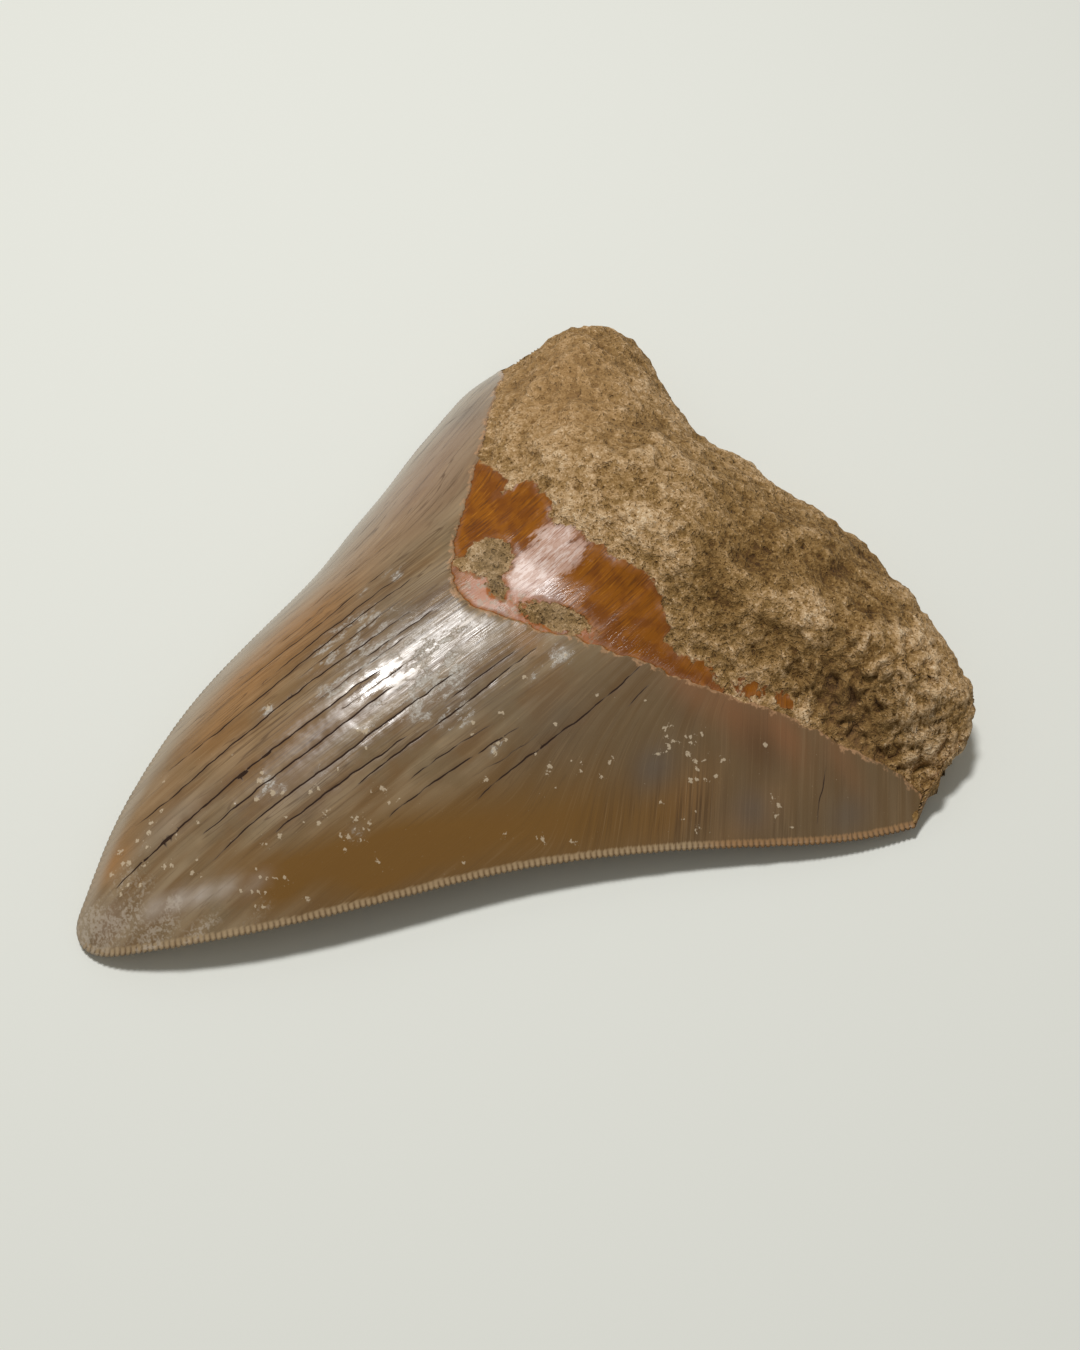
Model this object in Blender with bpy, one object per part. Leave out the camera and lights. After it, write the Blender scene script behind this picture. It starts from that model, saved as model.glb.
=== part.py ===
"""A megalodon tooth, lying on its flat labial face with the bulging lingual face up.

The tooth is one solid: a serrated crown with sharp cutting edges, a chevron where the
enamel ends, and a thick porous root with two lobes and a shallow notch between them.
Lengths are in millimetres until the mesh is written in metres. +Y runs from the tip to
the root, +X across the tooth, +Z up out of the lingual face. While it is being shaped
the tip is at the origin; the finished solid stands on the middle of its own base.
"""

import math

import bpy
import numpy as np
from mathutils import Vector, noise
from mathutils.geometry import delaunay_2d_cdt

METRES = 0.001

# The crown's cutting edges, from the left shoulder down round the tip to the right one.
SHOULDER_LEFT = (-49.6, 105.3)
SHOULDER_RIGHT = (53.9, 105.6)
EDGE_LEFT = [(-48.4, 98.0), (-45.7, 91.2), (-42.5, 83.8), (-38.4, 75.5), (-34.5, 66.6), (-30.7, 58.2),
             (-27.9, 49.8), (-25.5, 42.0), (-22.7, 33.7), (-16.5, 20.7), (-9.9, 10.2), (-4.7, 3.1)]
EDGE_TIP = [(-2.5, 0.5), (-0.6, 0.0), (1.4, 0.5)]
EDGE_RIGHT = [(5.7, 4.9), (10.9, 13.8), (16.7, 26.5), (21.7, 39.7), (26.8, 53.4), (32.9, 66.3),
              (39.9, 78.8), (47.4, 91.1), (50.9, 97.8)]

# The root's margin, from the right shoulder over the right lobe, the notch and the left lobe.
ROOT_MARGIN = [(52.3, 108.6), (50.4, 113.0), (49.0, 118.0), (46.3, 122.6), (39.5, 125.4), (30.0, 126.9),
               (19.5, 128.1), (9.5, 126.9), (0.0, 123.4), (-8.0, 121.2), (-14.5, 119.8), (-20.5, 120.8),
               (-27.0, 122.2), (-33.0, 124.2), (-38.8, 123.3), (-43.4, 119.1), (-46.0, 113.6),
               (-48.3, 109.0)]

# Where the enamel stops on the lingual face: a chevron whose point is nearer the tip.
CHEVRON = [SHOULDER_LEFT, (-44.8, 102.6), (-38.8, 96.6), (-32.9, 91.4), (-27.3, 85.9), (-22.1, 80.9),
           (-16.0, 74.3), (-11.0, 70.2), (-6.8, 69.2), (-3.0, 70.8), (4.0, 75.8), (11.0, 81.6), (17.5, 86.3),
           (26.1, 92.7), (34.0, 98.5), (42.6, 104.4), (48.7, 106.8), SHOULDER_RIGHT]
# On the labial face the enamel stops in a much shallower curve.
LABIAL_LINE = [SHOULDER_LEFT, (-38.0, 98.5), (-22.0, 91.5), (-4.0, 88.0), (14.0, 90.0), (34.0, 97.0),
               SHOULDER_RIGHT]

# Heights above the table.
TIP_LIFT = 1.1
EDGE_ARCH = 5.4
ARCH_RISE = 8.0
ARCH_CREST, ARCH_FALL = 25.0, 90.0
CROWN_THICKNESS = 14.9
CROWN_BASE = 72.0
CROWN_SWELL = 90.0
CROWN_EDGE_POWER = 1.12
RIDGE_LEAN = -8.0
ROOT_RIM = 8.0
LOBE_TOP = 15.5
ROOT_BOSS = 10.5
BOSS_CENTRE = (-3.0, 95.0)
BOSS_SPREAD = (33.0, 20.0)
RIM_ROUND_TOP = 13.0
RIM_ROUND_BASE = 9.0
HOLLOW_UNDER = 0.8
HOLLOW_FROM, HOLLOW_TO = 9.0, 62.0
BASE_WEAR = 0.45

# The enamel ends in a small ledge, and the root climbs out of it.
LEDGE = 0.5
LEDGE_HALF_WIDTH = 0.45
ROOT_CLIMB_MIDDLE = 27.0
ROOT_CLIMB_SIDE = 10.0
BASE_CLIMB = 9.0

# Broad forms of the root's upper face, hollows and crusts of sandy matrix: centre, spread, height.
ROOT_FORMS = [((24.0, 99.0), (6.5, 5.0), -1.3), ((25.0, 110.0), (5.5, 5.5), 1.0),
              ((35.0, 113.5), (6.0, 5.0), 1.0), ((38.0, 106.0), (5.5, 3.2), -0.9),
              ((-24.0, 97.0), (7.0, 5.0), -0.7), ((-9.6, 75.9), (3.4, 3.4), 0.5)]

# Serrations of the cutting edges.
SERRATION_PITCH = 0.8
SERRATION_DEPTH = 0.36

# The root's rough, lumpy bone.
LUMP_SIZE = 9.0
LUMP_HEIGHT = 1.0
KNOB_SIZE = 3.6
KNOB_HEIGHT = 0.55

# How finely the faces are cut up.
HEX_STEP = 3.3
SERRATION_ROOT = 0.3
RING_DEPTHS = (1.3, 2.9)
RING_STEPS = (1.6, 2.6)
RIM_ANGLES = (22.0, 42.0, 62.0, 82.0)
MARGIN_STEP = 2.0
CHEVRON_STEP = 1.9
CLIMB_RINGS = (2.3, 4.6, 7.2)

BONE_COLOUR = (0.36, 0.25, 0.14, 1.0)


def spline(points, count):
    """A smooth curve through the points, as count points spaced evenly along it."""
    knots = np.array(points, float)
    chord = np.concatenate([[0.0], np.cumsum(np.hypot(*np.diff(knots, axis=0).T))])
    gaps = np.diff(chord)
    size = len(knots)
    system = np.eye(size)
    right = np.zeros((size, 2))
    for i in range(1, size - 1):
        system[i, i - 1:i + 2] = gaps[i - 1], 2 * (gaps[i - 1] + gaps[i]), gaps[i]
        right[i] = 6 * ((knots[i + 1] - knots[i]) / gaps[i] - (knots[i] - knots[i - 1]) / gaps[i - 1])
    bend = np.linalg.solve(system, right)
    at = np.linspace(0.0, chord[-1], 40 * size)
    k = np.clip(np.searchsorted(chord, at, side="right") - 1, 0, size - 2)
    a = ((chord[k + 1] - at) / gaps[k])[:, None]
    b = 1 - a
    curve = a * knots[k] + b * knots[k + 1]
    curve += ((a ** 3 - a) * bend[k] + (b ** 3 - b) * bend[k + 1]) * (gaps[k] ** 2 / 6)[:, None]
    return evenly(curve, count)


def evenly(curve, count):
    """The same polyline, as count points at equal steps along it."""
    along = np.concatenate([[0.0], np.cumsum(np.hypot(*np.diff(curve, axis=0).T))])
    steps = np.linspace(0.0, along[-1], count)
    return np.stack([np.interp(steps, along, curve[:, 0]), np.interp(steps, along, curve[:, 1])], 1)


def length_of(curve):
    return float(np.hypot(*np.diff(curve, axis=0).T).sum())


def smoothstep(value):
    t = np.clip(value, 0.0, 1.0)
    return t * t * (3 - 2 * t)


def distance_to(points, curve):
    """How far each point is from a polyline."""
    start, step = curve[:-1], np.diff(curve, axis=0)
    square = (step ** 2).sum(1)
    least = np.empty(len(points))
    for i in range(0, len(points), 2000):
        offset = points[i:i + 2000, None] - start
        share = np.clip((offset * step).sum(2) / square, 0.0, 1.0)
        gap = offset - share[..., None] * step
        least[i:i + 2000] = np.sqrt((gap ** 2).sum(2).min(1))
    return least


CUTTING_EDGE = spline([SHOULDER_LEFT] + EDGE_LEFT + EDGE_TIP + EDGE_RIGHT + [SHOULDER_RIGHT], 900)
MARGIN = spline([SHOULDER_RIGHT] + ROOT_MARGIN + [SHOULDER_LEFT], 400)
CHEVRON_LINE = spline(CHEVRON, 300)
LABIAL_CURVE = spline(LABIAL_LINE, 200)
TIP_INDEX = int(CUTTING_EDGE[:, 1].argmin())


def edge_sides(y):
    """The x of the left and right cutting edges at a height y above the tip."""
    left = CUTTING_EDGE[:TIP_INDEX + 1][::-1]
    right = CUTTING_EDGE[TIP_INDEX:]
    return np.interp(y, left[:, 1], left[:, 0]), np.interp(y, right[:, 1], right[:, 0])


def edge_height(y):
    """The cutting edges arch up off the table between the tip and the shoulders."""
    rise = 1 - np.exp(-np.maximum(y, 0.0) / ARCH_RISE)
    fall = np.cos(math.pi / 2 * np.clip((y - ARCH_CREST) / ARCH_FALL, 0.0, 1.0))
    return TIP_LIFT + EDGE_ARCH * rise * fall


def rim_height(y):
    """The height at which the upper and lower faces meet."""
    root = smoothstep((y - 104.0) / 11.0)
    return edge_height(y) * (1 - root) + ROOT_RIM * root


def across(x, y):
    """0 on either cutting edge and 1 on the ridge that runs up the crown."""
    left, right = edge_sides(y)
    share = np.clip((x - left) / (right - left + 1e-9), 0.0, 1.0)
    ridge_x = RIDGE_LEAN * np.clip(y / CROWN_BASE, 0.0, 1.0)
    ridge = np.clip((ridge_x - left) / (right - left + 1e-9), 0.3, 0.7)
    skewed = share ** (math.log(0.5) / np.log(ridge))
    return 4 * skewed * (1 - skewed)


def crown_top(x, y):
    swell = (1 - np.exp(-y / CROWN_SWELL)) / (1 - math.exp(-CROWN_BASE / CROWN_SWELL))
    return edge_height(y) + CROWN_THICKNESS * np.maximum(swell, 0.0) * across(x, y) ** CROWN_EDGE_POWER


def rounded(distance, radius):
    """0 on the margin and 1 once inside it by the radius, along a quarter of a circle."""
    return np.sqrt(1 - (1 - np.clip(distance / radius, 0.0, 1.0)) ** 2)


def root_top(x, y, to_margin):
    boss_x = (x - BOSS_CENTRE[0]) / BOSS_SPREAD[0]
    boss_y = (y - BOSS_CENTRE[1]) / BOSS_SPREAD[1]
    full = LOBE_TOP + ROOT_BOSS * np.exp(-boss_x ** 2 - boss_y ** 2)
    rim = rim_height(y)
    return rim + (full - rim) * rounded(to_margin, RIM_ROUND_TOP)


def broad_forms(x, y):
    """The height that the root's hollows and crusts add."""
    total = np.zeros(len(x))
    for (middle_x, middle_y), (spread_x, spread_y), height in ROOT_FORMS:
        total += height * np.exp(-((x - middle_x) / spread_x) ** 2 - ((y - middle_y) / spread_y) ** 2)
    return total


def past_line(x, y, line):
    """How far a point lies past a chevron, towards the root."""
    return (y - np.interp(x, line[:, 0], line[:, 1])) * 0.8


def lingual_height(points):
    """The upper face."""
    x, y = points.T
    to_margin = distance_to(points, MARGIN)
    past = past_line(x, y, CHEVRON_LINE)
    middle = np.exp(-((x - RIDGE_LEAN) / 26.0) ** 2)
    climb = ROOT_CLIMB_SIDE + (ROOT_CLIMB_MIDDLE - ROOT_CLIMB_SIDE) * middle
    crown = crown_top(x, y)
    root = root_top(x, y, to_margin)
    height = crown + (root - crown) * smoothstep(past / climb) + broad_forms(x, y) * smoothstep(past / 3)
    return height - LEDGE * smoothstep(past / (2 * LEDGE_HALF_WIDTH) + 0.5) * smoothstep(3 - past / 4)


def labial_height(points):
    """The lower face: flat where it is worn, hollow under the crown, rounded under the root."""
    x, y = points.T
    to_margin = distance_to(points, MARGIN)
    edge = edge_height(y)
    share = np.clip((y - HOLLOW_FROM) / (HOLLOW_TO - HOLLOW_FROM), 0.0, 1.0)
    hollow = HOLLOW_UNDER * np.sin(math.pi * share)
    crown = hollow + (edge - hollow) * (1 - across(x, y)) ** 1.4
    root = rim_height(y) * (1 - rounded(to_margin, RIM_ROUND_BASE))
    past = past_line(x, y, LABIAL_CURVE)
    groove = 0.55 * np.exp(-(past / 1.6) ** 2)
    height = crown + (root - crown) * smoothstep(past / BASE_CLIMB) + groove
    return np.maximum(height - BASE_WEAR, 0.0)


def outward(curve):
    """Unit normals on the right-hand side of a polyline."""
    along = np.gradient(curve, axis=0)
    along /= np.hypot(*along.T)[:, None]
    return np.stack([along[:, 1], -along[:, 0]], 1)


def serration_stations():
    """Points along the cutting edge: the even ones lie between serrations, the odd ones on them."""
    teeth = round(length_of(CUTTING_EDGE) / SERRATION_PITCH)
    return evenly(CUTTING_EDGE, 2 * teeth + 1)


def serrated_edge():
    stations = serration_stations()
    proud = SERRATION_DEPTH * (np.arange(len(stations)) % 2)
    return stations + outward(stations) * proud[:, None]


def serration_roots():
    """The point on a face where each serration grows out of the blade."""
    stations = serration_stations()
    return (stations - outward(stations) * SERRATION_ROOT)[1::2]


def ring(curve, depth, step):
    """Points inside the outline, a given depth in from a stretch of it."""
    base = evenly(curve, max(3, round(length_of(curve) / step)))
    return (base - outward(base) * depth)[1:-1]


def hex_grid(low, high, step):
    """A triangular grid of points that fills a box."""
    rows = []
    for i, y in enumerate(np.arange(low[1], high[1], step * math.sqrt(3) / 2)):
        xs = np.arange(low[0] + (i % 2) * step / 2, high[0], step)
        rows.append(np.stack([xs, np.full(len(xs), y)], 1))
    return np.concatenate(rows)


def inside(points, outline):
    """Which points lie inside a closed polyline."""
    x, y = points.T
    odd = np.zeros(len(points), bool)
    for (x0, y0), (x1, y1) in zip(outline, np.roll(outline, -1, 0)):
        crosses = (y0 > y) != (y1 > y)
        odd ^= crosses & (x < (x1 - x0) * (y - y0) / (y1 - y0 + 1e-12) + x0)
    return odd


def face_points(outline, line, rim_round):
    """Where a face gets its inner points: rings by the edge and the rim, a pair of lines along the
    end of the enamel, and a grid between them."""
    closed = np.concatenate([outline, outline[:1]])
    chosen = []

    def add(new, clearance):
        new = new[inside(new, outline)]
        new = new[distance_to(new, closed) > clearance]
        for old, gap in chosen:
            apart = np.sqrt(((new[:, None] - old) ** 2).sum(2).min(1))
            new = new[apart > gap]
        return new

    chosen.append((add(serration_roots(), 0.5 * SERRATION_ROOT), 0.5 * SERRATION_PITCH))
    for depth, step in zip(RING_DEPTHS, RING_STEPS):
        chosen.append((add(ring(CUTTING_EDGE, depth, step), 0.8 * depth), 0.55 * step))
    for angle in RIM_ANGLES:
        depth = rim_round * (1 - math.cos(math.radians(angle)))
        chosen.append((add(ring(MARGIN, depth, MARGIN_STEP), 0.85 * depth), 0.5 * MARGIN_STEP))
    for side in (-LEDGE_HALF_WIDTH, LEDGE_HALF_WIDTH) + CLIMB_RINGS:
        chosen.append((add(ring(line, side, CHEVRON_STEP), 1.2), 0.5 * CHEVRON_STEP))
    grid = hex_grid(outline.min(0), outline.max(0), HEX_STEP)
    chosen.append((add(grid, 0.8 * RING_DEPTHS[-1]), 0.0))
    return np.concatenate([points for points, _ in chosen])


def triangulate(outline, inner):
    """Triangles that fill the outline, counter-clockwise from above, and their inner points. A chord
    from rim to rim gets a point of its own, so that the two faces share nothing but the rim."""
    count = len(outline)
    while True:
        flat = [Vector(p) for p in np.concatenate([outline, inner])]
        _, _, found, origins, _, _ = delaunay_2d_cdt(flat, [], [list(range(count))], 1, 1e-5)
        faces = np.array([[origins[i][0] for i in face] for face in found])
        sides = np.sort(np.concatenate([faces[:, :2], faces[:, 1:], faces[:, ::2]]), axis=1)
        gap = sides[:, 1] - sides[:, 0]
        chords = np.unique(sides[(sides[:, 1] < count) & (gap > 1) & (gap < count - 1)], axis=0)
        if not len(chords):
            return inner, faces
        inner = np.concatenate([inner, outline[chords].mean(1)])


def roughened(points, normals, amount):
    """Moves points along their normals by the root's lumps and knobs."""
    out = points.copy()
    for i, share in enumerate(amount):
        if share > 0:
            at = Vector(points[i])
            lump = noise.noise(at / LUMP_SIZE) * LUMP_HEIGHT
            knob = noise.noise(at / KNOB_SIZE + Vector((7.0, 3.0, 1.0))) * KNOB_HEIGHT
            out[i] += normals[i] * (share * (lump + knob))
    return out


def vertex_normals(points, faces):
    corners = points[faces]
    face_normals = np.cross(corners[:, 1] - corners[:, 0], corners[:, 2] - corners[:, 0])
    total = np.zeros_like(points)
    for k in range(3):
        np.add.at(total, faces[:, k], face_normals)
    return total / np.linalg.norm(total, axis=1)[:, None]


def tooth_mesh():
    """Points and triangles of the whole closed tooth, with the tip at the origin."""
    edge = serrated_edge()
    margin = evenly(MARGIN, round(length_of(MARGIN) / MARGIN_STEP) + 1)
    outline = np.concatenate([edge, margin[1:-1]])
    count = len(outline)
    upper_inner, upper = triangulate(outline, face_points(outline, CHEVRON_LINE, RIM_ROUND_TOP))
    lower_inner, lower = triangulate(outline, face_points(outline, LABIAL_CURVE, RIM_ROUND_BASE))

    rim = np.column_stack([outline, rim_height(outline[:, 1])])
    top = np.column_stack([upper_inner, lingual_height(upper_inner)])
    base = np.column_stack([lower_inner, labial_height(lower_inner)])
    shift = len(upper_inner)
    points = np.concatenate([rim, top, base])
    under = np.where(lower < count, lower, lower + shift)[:, ::-1]
    faces = np.concatenate([upper, under])

    on_root = smoothstep(past_line(points[:, 0], points[:, 1], CHEVRON_LINE) / 3.0)
    on_base = np.arange(len(points)) >= count + shift
    labial_root = smoothstep(past_line(points[:, 0], points[:, 1], LABIAL_CURVE) / 3.0)
    amount = np.where(on_base, labial_root * smoothstep(points[:, 2] / 2.0), on_root)
    points = roughened(points, vertex_normals(points, faces), amount)
    points[:, 2] = np.maximum(points[:, 2], 0.0)
    return points, faces


def centred(points):
    """Moves the tooth so that it stands on the middle of its own base."""
    low, high = points.min(0), points.max(0)
    middle = np.array([(low[0] + high[0]) / 2, (low[1] + high[1]) / 2, low[2]])
    return points - middle


def bone_material():
    material = bpy.data.materials.new("fossil")
    material.use_nodes = True
    shader = material.node_tree.nodes["Principled BSDF"]
    shader.inputs["Base Color"].default_value = BONE_COLOUR
    shader.inputs["Roughness"].default_value = 0.45
    shader.inputs["Metallic"].default_value = 0.0
    return material


def make_tooth():
    points, faces = tooth_mesh()
    mesh = bpy.data.meshes.new("tooth")
    mesh.from_pydata((centred(points) * METRES).tolist(), [], faces.tolist())
    mesh.validate()
    mesh.materials.append(bone_material())
    mesh.shade_smooth()
    mesh.set_sharp_from_angle(angle=math.radians(50))
    tooth = bpy.data.objects.new("tooth", mesh)
    bpy.context.scene.collection.objects.link(tooth)
    return tooth


for old in list(bpy.data.objects):
    bpy.data.objects.remove(old)
make_tooth()
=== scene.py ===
"""The looks of a fossil megalodon tooth, lying on its flat face on a pale floor.

One closed fine mesh stands for the whole tooth. Its two faces are the same height formulas that
the solid is built from, with the details that the solid is too coarse for: rounded serrations,
cracks in the enamel, the chipped end of the enamel, the step from the bare neck up to the root's
crust, and the pitted bone. Fields worked out at each point tell the material where it is.

Lengths are in millimetres and the tip is at the origin until the mesh is written in metres.
+Y runs from the tip to the root, +X across the tooth, +Z up out of the bulging lingual face.
"""

import math

import bpy
import numpy as np
from mathutils import Matrix, Vector, kdtree, noise
from mathutils.geometry import delaunay_2d_cdt


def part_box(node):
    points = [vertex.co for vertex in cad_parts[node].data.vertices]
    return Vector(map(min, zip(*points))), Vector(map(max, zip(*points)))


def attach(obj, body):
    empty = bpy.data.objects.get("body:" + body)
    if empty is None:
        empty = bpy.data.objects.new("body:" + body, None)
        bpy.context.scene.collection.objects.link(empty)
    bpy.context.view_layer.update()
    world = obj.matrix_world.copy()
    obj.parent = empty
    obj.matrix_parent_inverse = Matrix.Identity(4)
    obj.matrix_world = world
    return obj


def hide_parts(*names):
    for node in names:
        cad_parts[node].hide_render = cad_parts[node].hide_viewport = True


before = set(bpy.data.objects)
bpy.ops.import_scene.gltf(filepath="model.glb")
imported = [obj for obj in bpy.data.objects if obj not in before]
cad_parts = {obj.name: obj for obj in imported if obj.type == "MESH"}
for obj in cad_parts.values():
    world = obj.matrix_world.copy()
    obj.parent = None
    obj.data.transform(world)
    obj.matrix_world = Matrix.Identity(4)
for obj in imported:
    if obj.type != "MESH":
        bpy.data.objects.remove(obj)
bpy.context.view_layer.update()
METRES = 0.001

# The crown's cutting edges, from the left shoulder down round the tip to the right one.
SHOULDER_LEFT = (-49.6, 105.3)
SHOULDER_RIGHT = (53.9, 105.6)
EDGE_LEFT = [(-48.4, 98), (-45.7, 91.2), (-42.5, 83.8), (-38.4, 75.5), (-34.5, 66.6), (-30.7, 58.2),
             (-27.9, 49.8), (-25.5, 42), (-22.7, 33.7), (-16.5, 20.7), (-9.9, 10.2), (-4.7, 3.1)]
EDGE_TIP = [(-2.5, 0.5), (-0.6, 0), (1.4, 0.5)]
EDGE_RIGHT = [(5.7, 4.9), (10.9, 13.8), (16.7, 26.5), (21.7, 39.7), (26.8, 53.4), (32.9, 66.3),
              (39.9, 78.8), (47.4, 91.1), (50.9, 97.8)]

# The root's margin, from the right shoulder over the right lobe, the notch and the left lobe.
ROOT_MARGIN = [(52.3, 108.6), (50.4, 113), (49, 118), (46.3, 122.6), (39.5, 125.4), (30, 126.9),
               (19.5, 128.1), (9.5, 126.9), (0, 123.4), (-8, 121.2), (-14.5, 119.8), (-20.5, 120.8),
               (-27, 122.2), (-33, 124.2), (-38.8, 123.3), (-43.4, 119.1), (-46, 113.6), (-48.3, 109)]

# Where the enamel stops on the lingual face: a chevron whose point is nearer the tip.
CHEVRON = [SHOULDER_LEFT, (-44.8, 102.6), (-38.8, 96.6), (-32.9, 91.4), (-27.3, 85.9), (-22.1, 80.9),
           (-16, 74.3), (-11, 70.2), (-6.8, 69.2), (-3, 70.8), (4, 75.8), (11, 81.6), (17.5, 86.3),
           (26.1, 93.2), (34, 99.4), (38.5, 102.4), (42.6, 105.2), (46.5, 108), (52.1, 109.6)]
# On the labial face the enamel stops in a much shallower curve.
LABIAL_LINE = [SHOULDER_LEFT, (-38, 98.5), (-22, 91.5), (-4, 88), (14, 90), (34, 97), SHOULDER_RIGHT]
# The torn border of the root's crust. Between it and the chevron the smooth neck lies bare.
CRUST = [(-49.2, 103), (-34, 91.8), (-29, 87), (-26.6, 86), (-25, 86.4), (-23.7, 86), (-20.1, 86.6),
         (-18.5, 85.2), (-17.6, 88.1), (-15, 88.6), (-10.7, 87.8), (-9.2, 86.3), (-7.4, 86.3),
         (-5.2, 88.3), (-2.7, 88.4), (-0.4, 89.7), (1.8, 89.4), (4.5, 91), (6.7, 91.8), (9, 92.1),
         (12.2, 91.4), (13.8, 90.6), (14.6, 89.3), (17.5, 90.1), (19.6, 91), (22.2, 91.8), (24.6, 92.6),
         (26.5, 92), (34, 96.5), (52.1, 107)]
# Sandy matrix that still sticks to the neck: centre, two radii and the turn of the first radius.
NECK_CRUSTS = [((-9.8, 76.2), (3.4, 3.5), 0), ((-5.4, 74.3), (1.9, 1.2), 0),
               ((-11.4, 72.5), (1.4, 1.1), 0), ((3.4, 78.4), (5.2, 1.9), 37),
               ((-18.6, 85.9), (0.5, 1.3), 0)]
# Shreds of the neck that show through the crust beside the enamel, given in the same way.
NECK_SHREDS = [((26.6, 95.9), (2.2, 1), 45), ((30.6, 99.2), (1.6, 0.85), 30), ((21, 91.6), (1.6, 0.9), 30)]
# Waves in the torn edges of neck and crust: size, height and their layer of the noise.
TORN_WAVES = ((0.9, 0.45, 2.0), (0.4, 0.25, 6.0))
# Waves in the broken course of the chevron and the crust's border: size and height.
BREAK_WAVES = ((3.1, 0.7), (1.1, 0.35), (0.5, 0.2))

# Heights above the table.
TIP_LIFT = 1.1
EDGE_ARCH = 5.4
ARCH_RISE = 8.0
ARCH_CREST, ARCH_FALL = 25.0, 90.0
CROWN_THICKNESS = 14.9
CROWN_BASE = 72.0
CROWN_SWELL = 90.0
CROWN_EDGE_POWER = 1.12
RIDGE_LEAN = -8.0
ROOT_RIM = 8.0
ROOT_RIM_FROM, ROOT_RIM_OVER = 104.0, 11.0
LOBE_TOP = 15.5
ROOT_BOSS = 10.5
BOSS_CENTRE = (-3.0, 95.0)
BOSS_SPREAD = (33.0, 20.0)
RIM_ROUND_TOP = 13.0
RIM_ROUND_BASE = 9.0
HOLLOW_UNDER = 0.8
HOLLOW_FROM, HOLLOW_TO = 9.0, 62.0
BASE_WEAR = 0.45
ROOT_CLIMB_MIDDLE = 27.0
ROOT_CLIMB_SIDE = 10.0
CLIMB_SPREAD = 26.0
BASE_CLIMB = 9.0
BASE_STEP, BASE_STEP_WIDTH = 0.55, 1.6
HOLLOW_POWER = 1.4

# How much shorter the way to the end of the enamel is than along y, because the line slants.
LINE_SLANT = 0.8
# The enamel ends in a chipped ledge, and the crust stands a step above the bare neck.
LEDGE = 0.5
LEDGE_WIDTH = 0.3
CRUST_STEP = 0.3
CRUST_STEP_WIDTH = 0.7

# Broad forms of the root's upper face, hollows and crusts of sandy matrix: centre, spreads, height.
ROOT_FORMS = [(24, 100.5, 5.5, 4.5, -1.7), (24.5, 109.5, 5, 5, 1.2), (35, 113.5, 6, 5, 1),
              (38, 106, 5.5, 3.2, -0.9), (-24, 97, 7, 5, -0.7), (-9.6, 75.9, 3.4, 3.4, 0.5)]
# Soft swells of the crown, each of which catches the light by itself, in the same way.
CROWN_FORMS = [(-3, 51, 7, 6, 0.08), (-0.5, 67.5, 7, 6, 0.06)]
# The bone's relief in layers, from broad lumps to grains: size, height and an offset of its own.
BONE_LAYERS = [(9.0, 1.0, (0.0, 0.0, 0.0)), (3.6, 0.75, (7.0, 3.0, 1.0)), (1.7, 0.4, (2.0, 9.0, 4.0)),
               (0.9, 0.24, (5.0, 1.0, 8.0))]
RELIEF_SINK = 0.3
PIT_SIZE = 1.1
PIT_DEPTH = 0.4
PIT_START = 0.46
# Clods of crust with creases between them, and where they are strong, as soft spots.
CLOD_SIZE = 2.3
CLOD_HEIGHT = 2.2
CLODS = [(38, 107.5, 10, 7, 1), (46, 113, 7, 8, 0.7), (30, 101.5, 6, 4, 0.7), (34, 115, 8, 5, 0.5),
         (-8, 92, 16, 6, 0.25), (-28, 108, 14, 10, 0.2)]
CLODS_LEAST = 0.12
CREASE = 0.11

# Serrations of the cutting edges, and the ribs that run from them onto the faces.
SERRATION_PITCH = 0.8
SERRATION_DEPTH = 0.36
SERRATION_STEPS = 6
# The left edge is worn: its serrations have this share of their height.
LEFT_WEAR = 0.4
RIB_HEIGHT = 0.13
RIB_REACH = 0.75

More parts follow.
